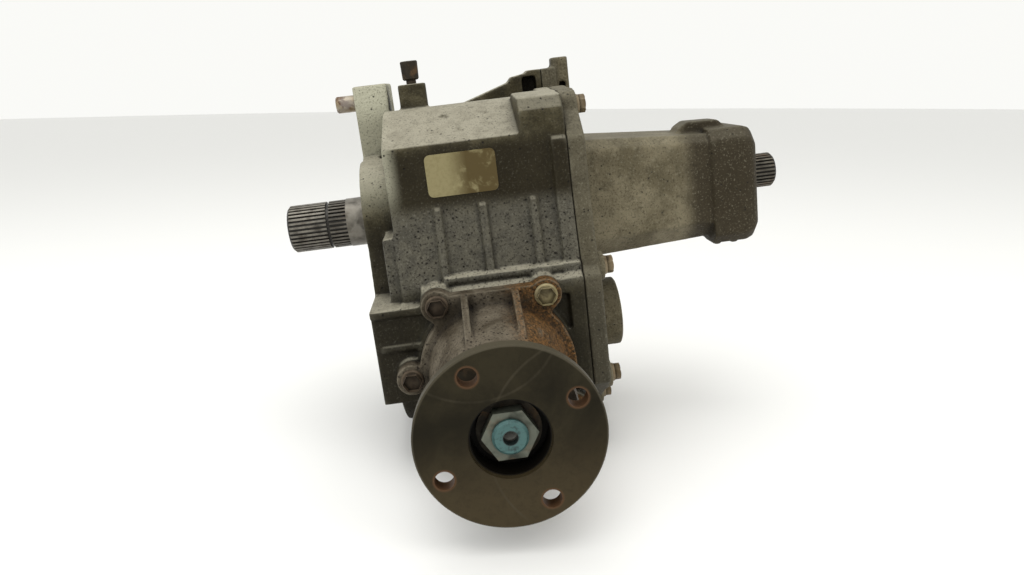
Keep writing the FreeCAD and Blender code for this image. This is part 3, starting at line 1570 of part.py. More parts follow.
def make_joint_dowels():
    """Two pins that line up the castings at the joint face, as one group."""
    pins = []
    for number, (y, z) in enumerate(JOINT_DOWEL_PLACES, start=1):
        pin = doc.addObject("Part::Cylinder", f"joint_dowel_{number}")
        bind(pin, "Radius", JOINT_DOWEL)
        bind(pin, "Height", JOINT_DOWEL_HALF * 2)
        place(pin, (D.split_plane - JOINT_DOWEL_HALF, y, z), Rotation(Vector(0, 1, 0), 90))
        pins.append(pin)
    group = doc.addObject("Part::Compound", "joint_dowels")
    group.Links = pins
    finish(group, "joint_dowels")


def make_rings():
    """O-ring of the pinion housing and the shims behind the left-hand bearing cups."""
    ring = doc.addObject("Part::Torus", "housing_o_ring")
    bind(ring, "Radius1", D.housing_spigot - O_RING_DEPTH / 2)
    bind(ring, "Radius2", O_RING_DEPTH / 2)
    middle = D.block_front - 9 + O_RING_WIDTH / 2
    place(ring, at(PINION_AXIS, 0, -middle), Rotation(Vector(1, 0, 0), 90))
    finish(ring, "housing_o_ring")
    turned_ring("input_shim", INPUT_AXIS, "+X", INPUT_LEFT - 9 - SHIM, INPUT_LEFT - 9, size(33),
                INPUT_BEARING[1])
    turned_ring("counter_shim", COUNTER_AXIS, "+X", COUNTER_LEFT - 8 - SHIM, COUNTER_LEFT - 8, size(24),
                COUNTER_LEFT_BEARING[1])


make_tapered_bearings()
make_support_bearing()
seat_radius = make_input_shaft()
make_intermediate_shaft()
make_countershaft()
make_helical_gears(seat_radius)
make_bevel_gears()
make_pinion_group()
make_pinion_housing()
make_main_case()
make_extension_housing()
make_seals_and_dowel()
make_bolts()
make_oil_plugs()
make_joint_dowels()
make_rings()


# Check the model and write one file for each sub-part

doc.recompute()
for item in doc.Objects:
    for state in ("Invalid", "Error"):
        if state in item.State:
            raise RuntimeError(f"{item.Name} is {state}")
os.makedirs("parts", exist_ok=True)
for item in finished:
    if item.Shape.isNull() or not item.Shape.isValid():
        raise RuntimeError(f"{item.Label} has no valid shape")
    item.Shape.exportStep(f"parts/{item.Label}.step")
    print(item.Label, len(item.Shape.Solids), round(item.Shape.Volume))
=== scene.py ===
# %% Load the frame
import math

import bmesh
import bpy
from mathutils import Matrix, Vector


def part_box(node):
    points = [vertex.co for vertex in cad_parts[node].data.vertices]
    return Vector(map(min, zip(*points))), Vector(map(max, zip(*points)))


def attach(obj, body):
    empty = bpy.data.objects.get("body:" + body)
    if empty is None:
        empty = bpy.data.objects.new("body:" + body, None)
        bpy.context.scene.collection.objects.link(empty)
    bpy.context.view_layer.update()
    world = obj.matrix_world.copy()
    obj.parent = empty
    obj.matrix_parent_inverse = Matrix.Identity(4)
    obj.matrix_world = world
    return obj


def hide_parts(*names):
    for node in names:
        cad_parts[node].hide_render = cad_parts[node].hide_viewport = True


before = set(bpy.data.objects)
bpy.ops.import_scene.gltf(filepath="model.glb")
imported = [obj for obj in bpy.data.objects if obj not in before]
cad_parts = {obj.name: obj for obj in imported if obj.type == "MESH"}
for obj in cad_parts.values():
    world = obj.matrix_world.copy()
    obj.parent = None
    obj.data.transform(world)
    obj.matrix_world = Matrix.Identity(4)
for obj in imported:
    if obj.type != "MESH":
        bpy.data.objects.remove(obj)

MM = 0.001
scene = bpy.context.scene
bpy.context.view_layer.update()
print("pieces in the frame:", len(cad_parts))

# %% [markdown]
# ## The view
# The photograph was taken from the front, a little above and with the unit leaning on its
# left edge. A camera could be placed by eye, but then each piece would sit a little off.
# Here its place and its three directions were fitted to the round flange, its four holes
# and the shaft axis, so the same numbers give the same picture.

# %% Camera
CAMERA_PLACE = Vector((79.4, -647.4, 97.4)) * MM
CAMERA_RIGHT = Vector((0.99042, -0.07512, -0.11583))
CAMERA_UP = Vector((0.13099, 0.24650, 0.96025))
CAMERA_BACK = Vector((-0.04358, -0.96623, 0.25398))
LENS_MM = 27.715
SENSOR_MM = 36.0


def make_camera():
    data = bpy.data.cameras.new("view")
    data.lens = LENS_MM
    data.sensor_width = SENSOR_MM
    camera = bpy.data.objects.new("view", data)
    scene.collection.objects.link(camera)
    turn = Matrix((CAMERA_RIGHT, CAMERA_UP, CAMERA_BACK)).transposed()
    camera.matrix_world = Matrix.Translation(CAMERA_PLACE) @ turn.to_4x4()
    scene.camera = camera
    return camera


camera = make_camera()
print("camera at", [round(value, 3) for value in camera.location])

# %% [markdown]
# ## Floor and light
# The unit stands on a pale bench. It rests on the bottom of its case, which isn't level, so
# the floor is a plane that leans by about six degrees against the shaft axis. A wide soft
# light from above and two weaker ones from the sides give the plain studio look. One hard
# lamp would be simpler, but it would hide the ribs in black shadow. The standard view keeps
# the floor near white and the oily castings dark, as they are in the photograph.

# %% Floor
FLOOR_NORMAL = Vector((0.1064, 0.0, 0.9943)).normalized()
FLOOR_RADIUS = 9.0


def lowest_along(direction):
    """How far down the CAD model reaches along a direction."""
    lowest = 1e9
    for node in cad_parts.values():
        for corner in node.data.vertices:
            lowest = min(lowest, corner.co.dot(direction))
    return lowest


def make_floor():
    mesh = bpy.data.meshes.new("floor")
    shape = bmesh.new()
    bmesh.ops.create_circle(shape, cap_ends=True, segments=64, radius=FLOOR_RADIUS)
    turn = FLOOR_NORMAL.to_track_quat("Z", "Y").to_matrix().to_4x4()
    lift = Matrix.Translation(FLOOR_NORMAL * (lowest_along(FLOOR_NORMAL) - 0.2 * MM))
    bmesh.ops.transform(shape, matrix=lift @ turn, verts=shape.verts)
    shape.to_mesh(mesh)
    shape.free()
    floor = bpy.data.objects.new("floor", mesh)
    scene.collection.objects.link(floor)
    material = bpy.data.materials.new("pale_floor")
    material.use_nodes = True
    shader = material.node_tree.nodes["Principled BSDF"]
    shader.inputs["Base Color"].default_value = (0.80, 0.80, 0.79, 1)
    shader.inputs["Roughness"].default_value = 0.55
    mesh.materials.append(material)
    return floor


floor = make_floor()
print("floor leans by", round(math.degrees(FLOOR_NORMAL.angle(Vector((0, 0, 1)))), 1), "degrees")

# %% Lights


def soft_light(name, place, aim, size, power, tint=(1, 1, 1)):
    data = bpy.data.lights.new(name, "AREA")
    data.shape = "DISK"
    data.size = size
    data.energy = power
    data.color = tint
    lamp = bpy.data.objects.new(name, data)
    lamp.location = place
    lamp.rotation_mode = "QUATERNION"
    lamp.rotation_quaternion = (Vector(aim) - Vector(place)).to_track_quat("-Z", "Y")
    scene.collection.objects.link(lamp)
    return lamp


MIDDLE = (0.12, -0.05, -0.02)
soft_light("overhead", (0.05, -0.25, 1.5), MIDDLE, 1.6, 15, (1.0, 0.99, 0.97))
soft_light("front_left", (-1.1, -1.3, 0.9), MIDDLE, 1.0, 8, (0.95, 0.98, 1.0))
soft_light("right", (1.5, -0.9, 0.8), MIDDLE, 1.0, 5, (1.0, 0.97, 0.93))
world = bpy.data.worlds.new("room")
scene.world = world
world.use_nodes = True
sky = world.node_tree.nodes["Background"]
sky.inputs["Color"].default_value = (1.0, 1.0, 0.97, 1)
sky.inputs["Strength"].default_value = 0.96
scene.view_settings.view_transform = "Standard"

# %% [markdown]
# ## Shader groups
# Most finishes on this unit share six effects: cloudy stains, fine casting grain with
# pits, worn edges with painted shade in inner corners, painted shade in narrow gaps, oily
# grit, and pale dust that lies on whatever faces up. They could be painted as pictures, but
# a picture would need its own unwrapping for each casting. So each effect is one small node
# group with named sockets, and every material uses it with its own numbers.

# %% Node helpers


def add_node(tree, kind, values=None, **settings):
    """Add a node, set its properties and then its input sockets by name or number."""
    node = tree.nodes.new(kind)
    for name, value in settings.items():
        setattr(node, name, value)
    for name, value in (values or {}).items():
        node.inputs[name].default_value = value
    return node


def start_group(name, inputs, outputs):
    """Start a shader group. inputs are (name, default) and outputs (name, socket type)."""
    group = bpy.data.node_groups.new(name, "ShaderNodeTree")
    for label, default in inputs:
        kind = "NodeSocketColor" if isinstance(default, tuple) else "NodeSocketFloat"
        socket = group.interface.new_socket(name=label, in_out="INPUT", socket_type=kind)
        socket.default_value = default
    for label, kind in outputs:
        group.interface.new_socket(name=label, in_out="OUTPUT", socket_type=kind)
    entry = group.nodes.new("NodeGroupInput")
    result = group.nodes.new("NodeGroupOutput")
    return group, entry, result


def use_group(tree, group, **values):
    node = tree.nodes.new("ShaderNodeGroup")
    node.node_tree = group
    for name, value in values.items():
        node.inputs[name.replace("_", " ")].default_value = value
    return node


def ramp(tree, source, low, high):
    """Stretch a value so that low gives 0 and high gives 1, with soft ends."""
    node = add_node(tree, "ShaderNodeMapRange", {"From Min": low, "From Max": high},
                    interpolation_type="SMOOTHSTEP")
    tree.links.new(source, node.inputs["Value"])
    return node.outputs["Result"]


def multiply(tree, first, second):
    node = add_node(tree, "ShaderNodeMath", operation="MULTIPLY", use_clamp=True)
    for socket, source in zip(node.inputs, (first, second)):
        if isinstance(source, (int, float)):
            socket.default_value = source
        else:
            tree.links.new(source, socket)
    return node.outputs[0]


def add_up(tree, first, second):
    node = add_node(tree, "ShaderNodeMath", operation="ADD", use_clamp=True)
    for socket, source in zip(node.inputs, (first, second)):
        if isinstance(source, (int, float)):
            socket.default_value = source
        else:
            tree.links.new(source, socket)
    return node.outputs[0]


def blend(tree, mask, under, over):
    """Mix two colours by a mask. A colour is a socket or three numbers."""
    node = add_node(tree, "ShaderNodeMix", data_type="RGBA")
    tree.links.new(mask, node.inputs["Factor"])
    for label, source in (("A", under), ("B", over)):
        socket = next(s for s in node.inputs if s.name == label and s.type == "RGBA")
        if isinstance(source, tuple):
            socket.default_value = (*source, 1)
        else:
            tree.links.new(source, socket)
    return next(s for s in node.outputs if s.type == "RGBA")


# %% Stains


def make_stain_group():
    """Cloudy mask in two sizes, on the object's own coordinates."""
    group, entry, result = start_group(
        "stains", [("Size", 60.0), ("Low", 0.4), ("High", 0.65)], [("Mask", "NodeSocketFloat")])
    place = add_node(group, "ShaderNodeTexCoord")
    clouds = add_node(group, "ShaderNodeTexNoise", {"Detail": 6.0, "Roughness": 0.62, "Distortion": 0.4})
    group.links.new(place.outputs["Object"], clouds.inputs["Vector"])
    group.links.new(entry.outputs["Size"], clouds.inputs["Scale"])
    spread = add_node(group, "ShaderNodeMapRange", interpolation_type="SMOOTHSTEP")
    group.links.new(clouds.outputs["Fac"], spread.inputs["Value"])
    group.links.new(entry.outputs["Low"], spread.inputs["From Min"])
    group.links.new(entry.outputs["High"], spread.inputs["From Max"])
    group.links.new(spread.outputs["Result"], result.inputs["Mask"])
    return group


stains = make_stain_group()

# %% Casting grain and pits


def make_grain_group():
    """Height of a sand-cast skin: fine grain with scattered pits, and a mask of the pits."""
    group, entry, result = start_group(
        "casting_grain", [("Grain Size", 900.0), ("Pit Size", 330.0), ("Pit Share", 0.16)],
        [("Height", "NodeSocketFloat"), ("Pits", "NodeSocketFloat")])
    place = add_node(group, "ShaderNodeTexCoord")
    grain = add_node(group, "ShaderNodeTexNoise", {"Detail": 3.0, "Roughness": 0.6})
    cells = add_node(group, "ShaderNodeTexVoronoi", {"Randomness": 1.0})
    for texture, label in ((grain, "Grain Size"), (cells, "Pit Size")):
        group.links.new(place.outputs["Object"], texture.inputs["Vector"])
        group.links.new(entry.outputs[label], texture.inputs["Scale"])
    near = ramp(group, cells.outputs["Distance"], 0.32, 0.12)
    parts = add_node(group, "ShaderNodeSeparateColor")
    group.links.new(cells.outputs["Color"], parts.inputs["Color"])
    chosen = add_node(group, "ShaderNodeMath", operation="LESS_THAN")
    group.links.new(parts.outputs[0], chosen.inputs[0])
    group.links.new(entry.outputs["Pit Share"], chosen.inputs[1])
    pits = multiply(group, near, chosen.outputs[0])
    deep = add_node(group, "ShaderNodeMath", operation="SUBTRACT")
    group.links.new(grain.outputs["Fac"], deep.inputs[0])
    group.links.new(pits, deep.inputs[1])
    group.links.new(deep.outputs[0], result.inputs["Height"])
    group.links.new(pits, result.inputs["Pits"])
    return group


casting_grain = make_grain_group()

# %% Worn edges and painted corner shade


def make_edge_group():
    """Masks of sharp outer edges, for wear, and of inner corners, for painted shade, from how the surface
    bends.
    """
    group, entry, result = start_group(
        "edge_wear_and_corner_shade", [("Wear", 0.56), ("Shade Bend", 0.44), ("Break Up", 120.0)],
        [("Edges", "NodeSocketFloat"), ("Corner Shade", "NodeSocketFloat")])
    bend = add_node(group, "ShaderNodeNewGeometry")
    place = add_node(group, "ShaderNodeTexCoord")
    noise = add_node(group, "ShaderNodeTexNoise", {"Detail": 4.0})
    group.links.new(place.outputs["Object"], noise.inputs["Vector"])
    group.links.new(entry.outputs["Break Up"], noise.inputs["Scale"])
    edge = add_node(group, "ShaderNodeMapRange", {"From Min": 0.505}, interpolation_type="SMOOTHSTEP")
    group.links.new(bend.outputs["Pointiness"], edge.inputs["Value"])
    group.links.new(entry.outputs["Wear"], edge.inputs["From Max"])
    corner = add_node(group, "ShaderNodeMapRange", {"From Min": 0.498}, interpolation_type="SMOOTHSTEP")
    group.links.new(bend.outputs["Pointiness"], corner.inputs["Value"])
    group.links.new(entry.outputs["Shade Bend"], corner.inputs["From Max"])
    patches = ramp(group, noise.outputs["Fac"], 0.32, 0.6)
    group.links.new(multiply(group, edge.outputs["Result"], patches), result.inputs["Edges"])
    group.links.new(corner.outputs["Result"], result.inputs["Corner Shade"])
    return group


edge_wear_and_corner_shade = make_edge_group()

# %% Painted shade in narrow gaps


def make_crevice_shade_group():
    """Painted shade: a mask of narrow gaps that light hardly reaches, found by ambient occlusion."""
    group, entry, result = start_group(
        "crevice_shade", [("Reach", 0.014), ("Open", 0.80), ("Closed", 0.30)], [("Mask", "NodeSocketFloat")])
    hollow = add_node(group, "ShaderNodeAmbientOcclusion", samples=6)
    group.links.new(entry.outputs["Reach"], hollow.inputs["Distance"])
    spread = add_node(group, "ShaderNodeMapRange", interpolation_type="SMOOTHSTEP")
    group.links.new(hollow.outputs["AO"], spread.inputs["Value"])
    group.links.new(entry.outputs["Open"], spread.inputs["From Min"])
    group.links.new(entry.outputs["Closed"], spread.inputs["From Max"])
    group.links.new(spread.outputs["Result"], result.inputs["Mask"])
    return group


crevice_shade = make_crevice_shade_group()

# %% Grit


def make_grit_group():
    """Fine grit that sticks to oily metal: one mask of dark specks and one of light ones."""
    group, entry, result = start_group(
        "grit", [("Size", 620.0)], [("Dark", "NodeSocketFloat"), ("Light", "NodeSocketFloat")])
    place = add_node(group, "ShaderNodeTexCoord")
    noise = add_node(group, "ShaderNodeTexNoise", {"Detail": 2.0, "Roughness": 0.75})
    group.links.new(place.outputs["Object"], noise.inputs["Vector"])
    group.links.new(entry.outputs["Size"], noise.inputs["Scale"])
    group.links.new(ramp(group, noise.outputs["Fac"], 0.46, 0.33), result.inputs["Dark"])
    group.links.new(ramp(group, noise.outputs["Fac"], 0.57, 0.70), result.inputs["Light"])
    return group


grit = make_grit_group()

# %% Dust on what faces up


def make_dust_group():
    group, entry, result = start_group(
        "dust", [("Least Slope", 0.45), ("Full Slope", 0.95), ("Size", 70.0)],
        [("Mask", "NodeSocketFloat")])
    surface = add_node(group, "ShaderNodeNewGeometry")
    parts = add_node(group, "ShaderNodeSeparateXYZ")
    group.links.new(surface.outputs["Normal"], parts.inputs[0])
    up = add_node(group, "ShaderNodeMapRange", interpolation_type="SMOOTHSTEP")
    group.links.new(parts.outputs["Z"], up.inputs["Value"])
    group.links.new(entry.outputs["Least Slope"], up.inputs["From Min"])
    group.links.new(entry.outputs["Full Slope"], up.inputs["From Max"])
    place = add_node(group, "ShaderNodeTexCoord")
    noise = add_node(group, "ShaderNodeTexNoise", {"Detail": 5.0, "Roughness": 0.6})
    group.links.new(place.outputs["Object"], noise.inputs["Vector"])
    group.links.new(entry.outputs["Size"], noise.inputs["Scale"])
    patches = ramp(group, noise.outputs["Fac"], 0.20, 0.42)
    group.links.new(multiply(group, up.outputs["Result"], patches), result.inputs["Mask"])
    return group


dust = make_dust_group()
print("shader groups:", [group.name for group in bpy.data.node_groups])

# %% [markdown]
# ## Cast metal
# The case is sand-cast aluminium that has turned grey-olive. Oil has soaked its front and
# holds fine grit, so the lower front wall is nearly black with small pits, while the roof
# and the long housing are paler and dusty. A single colour with noise would look like
# paint. So each casting starts from two metal tones and lays stains, oil, dust, grit and
# painted shade in corners and narrow gaps over them, one after another, each through its
# own mask.

# %% Material helpers


def start_material(name, roughness=0.5, metallic=0.0, specular=0.5):
    material = bpy.data.materials.new(name)
    material.use_nodes = True
    tree = material.node_tree
    shader = tree.nodes["Principled BSDF"]
    shader.inputs["Roughness"].default_value = roughness
    shader.inputs["Metallic"].default_value = metallic
    shader.inputs["Specular IOR Level"].default_value = specular
    return material, tree, shader


def bump(tree, shader, height, strength, depth_mm):
    node = add_node(tree, "ShaderNodeBump", {"Strength": strength, "Distance": depth_mm * MM})
    tree.links.new(height, node.inputs["Height"])
    tree.links.new(node.outputs["Normal"], shader.inputs["Normal"])


def position(tree, axis):
    """One coordinate of the surface point in the unit's own frame."""
    place = add_node(tree, "ShaderNodeTexCoord")
    parts = add_node(tree, "ShaderNodeSeparateXYZ")
    tree.links.new(place.outputs["Object"], parts.inputs[0])
    return parts.outputs[axis]


def between(tree, source, low, low_full, high_full, high):
    """A mask that is full between two values and fades out on both sides."""
    return multiply(tree, ramp(tree, source, low, low_full), ramp(tree, source, high, high_full))


def lay_over(tree, colour, layers):
    """Lay colours over a colour, one after another, each through its mask and share."""
    for mask, share, over in layers:
        colour = blend(tree, multiply(tree, mask, share), colour, over)
    return colour


def vary(tree, mask, none, full):
    """A number that goes from one value to another with a mask."""
    node = add_node(tree, "ShaderNodeMapRange", {"To Min": none, "To Max": full})
    tree.links.new(mask, node.inputs["Value"])
    return node.outputs["Result"]


# %% [markdown]
# ## Finish of the case
# The case changes from place to place: the front wall round the plate is dark with oil, the
# zone of ribs below it is gritty and grey, the grey partly a painted sheen of its oil, the
# mounting plate at the left is nearly bare, and the roof is dusty. Separate materials would
# leave hard borders, so one material fades between zones by the coordinates of the surface
# point.

# %% Case finish
# Where each zone of the case starts and where it is full, in metres along one axis
FRONT_Y = (-0.050, -0.068)
UPPER_WALL_Z = (0.002, 0.018, 0.050, 0.062)
RIBBED_Z = (-0.056, -0.040, 0.004, 0.020)
MOUNTING_PLATE_X = (0.036, 0.024)
BARE_Z = (0.004, 0.040)
SOILED_Z = (0.012, -0.012)
LOWER_BLOCK_Z = (-0.046, -0.060)
EAR_Z = (0.070, 0.095)


def make_case_metal():
    """Grey-olive cast aluminium: dark front, gritty ribs with a painted oily sheen, bare flange, dusty
    roof.
    """
    material, tree, shader = start_material("case_aluminium", 0.6, 0.0, 0.16)
    across, deep, high = (position(tree, axis) for axis in "XYZ")
    edges = use_group(tree, edge_wear_and_corner_shade)
    shade_in_hollows = use_group(tree, crevice_shade)
    specks = use_group(tree, grit)
    clouds = use_group(tree, stains, Size=30.0, Low=0.36, High=0.66)
    blotches = use_group(tree, stains, Size=110.0, Low=0.40, High=0.66)
    settled = use_group(tree, dust)
    front = ramp(tree, deep, *FRONT_Y)
    wall = multiply(tree, front, between(tree, high, *UPPER_WALL_Z))
    ribbed = multiply(tree, front, between(tree, high, *RIBBED_Z))
    left = ramp(tree, across, *MOUNTING_PLATE_X)
    bare = multiply(tree, left, ramp(tree, high, *BARE_Z))
    soiled = multiply(tree, left, ramp(tree, high, *SOILED_Z))
    block = ramp(tree, high, *LOWER_BLOCK_Z)
    grain = use_group(tree, casting_grain, Grain_Size=520.0, Pit_Size=310.0)
    tree.links.new(vary(tree, ribbed, 0.05, 0.34), grain.inputs["Pit Share"])
    colour = blend(tree, clouds.outputs["Mask"], (0.028, 0.0225, 0.009), (0.076, 0.065, 0.036))
    colour = lay_over(tree, colour, [
        (blotches.outputs["Mask"], 0.5, (0.016, 0.013, 0.006)),
        (wall, 0.88, (0.012, 0.0085, 0.002)),
        (block, 0.75, (0.014, 0.012, 0.006)),
        (soiled, 0.75, (0.014, 0.011, 0.005)),
        # painted sheen: this grey stands in for the oily ribs reflecting the bright floor, laid over their
        # real grit
        (ribbed, 0.88, (0.082, 0.076, 0.057)),
        (multiply(tree, ribbed, blotches.outputs["Mask"]), 0.45, (0.022, 0.020, 0.016)),
        (bare, 0.88, (0.290, 0.280, 0.208)),
        (multiply(tree, bare, ramp(tree, high, *EAR_Z)), 0.75, (0.430, 0.420, 0.320)),
        (settled.outputs["Mask"], 0.85, (0.300, 0.280, 0.215)),
        (multiply(tree, settled.outputs["Mask"], blotches.outputs["Mask"]), 0.35, (0.120, 0.106, 0.074)),
        (specks.outputs["Light"], vary(tree, ribbed, 0.16, 0.36), (0.180, 0.172, 0.140)),
        (specks.outputs["Dark"], vary(tree, ribbed, 0.50, 0.85), (0.008, 0.006, 0.004)),
        (edges.outputs["Edges"], 0.22, (0.170, 0.160, 0.122)),
        (grain.outputs["Pits"], 0.85, (0.004, 0.003, 0.002)),
        # painted shade: these two layers darken inner corners and narrow gaps where shade falls
        (edges.outputs["Corner Shade"], 0.85, (0.006, 0.005, 0.003)),
        (shade_in_hollows.outputs["Mask"], 0.90, (0.004, 0.003, 0.001))])
    tree.links.new(colour, shader.inputs["Base Color"])
    tree.links.new(vary(tree, ribbed, 0.66, 0.50), shader.inputs["Roughness"])
    bump(tree, shader, grain.outputs["Height"], 0.8, 0.9)
    return material


case_metal = make_case_metal()
print("case zones fade between", FRONT_Y, "in Y and", RIBBED_Z, "in Z")

# %% [markdown]
# ## Finish of the long housing
# The long housing is the same metal as the case, but it stayed dry, so its tube is paler.
# Only its end block is dark with oil. It could share the material of the case, but its zones
# lie along the shaft, so it has a small material of its own.

# %% Long housing finish
# Where the oily end block begins, and where the plate at the joint ends, in metres along X
END_BLOCK_X = (0.244, 0.262)
JOINT_PLATE_X = (0.176, 0.168)
PLATE_LOW_Z = (-0.030, -0.075)


def make_long_housing_metal():
    """The same metal, drier and paler along the tube, oily and dark at its end block."""
    material, tree, shader = start_material("long_housing_aluminium", 0.64, 0.0, 0.18)
    across, high = position(tree, "X"), position(tree, "Z")
    edges = use_group(tree, edge_wear_and_corner_shade)
    shade_in_hollows = use_group(tree, crevice_shade)
    specks = use_group(tree, grit)
    clouds = use_group(tree, stains, Size=26.0, Low=0.36, High=0.66)
    blotches = use_group(tree, stains, Size=110.0, Low=0.42, High=0.68)
    grain = use_group(tree, casting_grain, Grain_Size=560.0, Pit_Size=330.0, Pit_Share=0.08)
    settled = use_group(tree, dust)
    end = ramp(tree, across, *END_BLOCK_X)
    plate = ramp(tree, across, *JOINT_PLATE_X)
    colour = blend(tree, clouds.outputs["Mask"], (0.092, 0.077, 0.044), (0.165, 0.142, 0.090))
    colour = lay_over(tree, colour, [
        (blotches.outputs["Mask"], 0.40, (0.040, 0.033, 0.018)),
        (plate, 0.55, (0.046, 0.042, 0.029)),
        (multiply(tree, plate, ramp(tree, high, *PLATE_LOW_Z)), 0.50, (0.030, 0.027, 0.018)),
        (end, 0.88, (0.019, 0.013, 0.005)),
        (settled.outputs["Mask"], 0.35, (0.150, 0.138, 0.098)),
        (specks.outputs["Light"], 0.35, (0.220, 0.205, 0.150)),
        (specks.outputs["Dark"], 0.50, (0.016, 0.012, 0.006)),
        (edges.outputs["Edges"], 0.22, (0.180, 0.168, 0.125)),
        (grain.outputs["Pits"], 0.75, (0.008, 0.006, 0.004)),
        # painted shade: these two layers darken inner corners and narrow gaps where shade falls
        (edges.outputs["Corner Shade"], 0.80, (0.008, 0.006, 0.003)),
        (shade_in_hollows.outputs["Mask"], 0.85, (0.005, 0.004, 0.002))])
    tree.links.new(colour, shader.inputs["Base Color"])
    bump(tree, shader, grain.outputs["Height"], 0.7, 0.8)
    return material


housing_metal = make_long_housing_metal()

# %% [markdown]
# ## Finish of the pinion housing
# This housing is cast iron, not aluminium, so it rusts. Most of it is dark brown and full of
# small pits, and its right side is rust-orange. Rust could be a flat orange colour, but real
# rust is made of grains, so two rust tones are mixed by fine noise.

# %% Rusty cast iron
RUSTY_SIDE_X = (0.090, 0.116)


def make_iron():
    """The pinion housing: dark cast iron full of small pits, rust-orange on its right side."""
    material, tree, shader = start_material("rusty_cast_iron", 0.70, 0.0, 0.16)
    grain = use_group(tree, casting_grain, Grain_Size=520.0, Pit_Size=340.0, Pit_Share=0.30)
    edges = use_group(tree, edge_wear_and_corner_shade)
    shade_in_hollows = use_group(tree, crevice_shade)
    specks = use_group(tree, grit)
    side = ramp(tree, position(tree, "X"), *RUSTY_SIDE_X)
    patches = use_group(tree, stains, Size=60.0, Low=0.22, High=0.50)
    fine = use_group(tree, stains, Size=420.0, Low=0.40, High=0.62)
    clouds = use_group(tree, stains, Size=42.0, Low=0.36, High=0.66)
    rusty = multiply(tree, side, patches.outputs["Mask"])
    colour = blend(tree, clouds.outputs["Mask"], (0.044, 0.034, 0.021), (0.110, 0.092, 0.066))
    rust = blend(tree, fine.outputs["Mask"], (0.042, 0.024, 0.008), (0.135, 0.064, 0.018))
    colour = lay_over(tree, colour, [
        (rusty, 0.92, rust),
        (multiply(tree, specks.outputs["Light"], side), 0.55, (0.300, 0.130, 0.035)),
        (multiply(tree, specks.outputs["Light"], clouds.outputs["Mask"]), 0.40, (0.170, 0.150, 0.110)),
        (specks.outputs["Dark"], 0.75, (0.010, 0.007, 0.004)),
        (edges.outputs["Edges"], 0.40, (0.190, 0.170, 0.125)),
        (grain.outputs["Pits"], 0.75, (0.006, 0.004, 0.003)),
        # painted shade: these two layers darken inner corners and narrow gaps where shade falls
        (edges.outputs["Corner Shade"], 0.85, (0.006, 0.004, 0.003)),
        (shade_in_hollows.outputs["Mask"], 0.92, (0.003, 0.002, 0.001))])
    tree.links.new(colour, shader.inputs["Base Color"])
    bump(tree, shader, grain.outputs["Height"], 0.8, 0.8)
    return material


iron = make_iron()
print("cast finishes:", case_metal.name, housing_metal.name, iron.name)

# %% [markdown]
# ## Machined steel
# The shafts, the nut and the bolts are steel under a film of old oil. Each could have a
# material built by hand, but they differ only in tone, gloss and stain, so one function
# makes them all. Spline grooves are too narrow for light to reach, so the function can
# darken a shaft towards the roots of its teeth.

# %% Turned and ground steel


def axis_distance(tree, centre, across):
    """Distance of the surface point from an axis, in metres. across names the two other axes."""
    place = add_node(tree, "ShaderNodeTexCoord")
    shift = add_node(tree, "ShaderNodeVectorMath", operation="SUBTRACT")
    shift.inputs[1].default_value = centre
    tree.links.new(place.outputs["Object"], shift.inputs[0])
    keep = add_node(tree, "ShaderNodeVectorMath", operation="MULTIPLY")
    keep.inputs[1].default_value = across
    tree.links.new(shift.outputs[0], keep.inputs[0])
    length = add_node(tree, "ShaderNodeVectorMath", operation="LENGTH")
    tree.links.new(keep.outputs[0], length.inputs[0])
    return length.outputs["Value"]


def steel(name, dark, light, roughness, metallic=0.8, stain_size=90.0, stain=(0.10, 0.06, 0.03),
          stain_low=0.5, stain_high=0.75, edge=(0.45, 0.43, 0.40), edge_share=0.4, grain_mm=0.05,
          groove=None, specular=0.5):
    """Steel finish. groove gives the radii between which a spline darkens towards its roots."""
    material, tree, shader = start_material(name, roughness, metallic, specular)
    shade_in_hollows = use_group(tree, crevice_shade, Reach=0.006)
    clouds = use_group(tree, stains, Size=stain_size * 0.5, Low=0.35, High=0.68)
    spots = use_group(tree, stains, Size=stain_size, Low=stain_low, High=stain_high)
    edges = use_group(tree, edge_wear_and_corner_shade)
    grain = use_group(tree, casting_grain, Grain_Size=1500.0, Pit_Share=0.04)
    colour = blend(tree, clouds.outputs["Mask"], dark, light)
    colour = blend(tree, spots.outputs["Mask"], colour, stain)
    # painted shade: darker in inner corners, where shade falls
    colour = blend(tree, multiply(tree, edges.outputs["Corner Shade"], 0.7), colour, (0.016, 0.013, 0.010))
    colour = blend(tree, multiply(tree, edges.outputs["Edges"], edge_share), colour, edge)
    if groove is not None:
        roots = ramp(tree, axis_distance(tree, (0, 0, 0), (0, 1, 1)), groove[0] * MM, groove[1] * MM)
        colour = blend(tree, multiply(tree, roots, 0.92), colour, (0.010, 0.008, 0.005))
    # painted shade: darker in narrow gaps that light hardly reaches
    colour = blend(tree, multiply(tree, shade_in_hollows.outputs["Mask"], 0.75), colour, (0.006, 0.005, 0.003))
    tree.links.new(colour, shader.inputs["Base Color"])
    rough = vary(tree, spots.outputs["Mask"], roughness, min(1.0, roughness + 0.3))
    tree.links.new(rough, shader.inputs["Roughness"])
    bump(tree, shader, grain.outputs["Height"], 0.35, grain_mm)
    return material


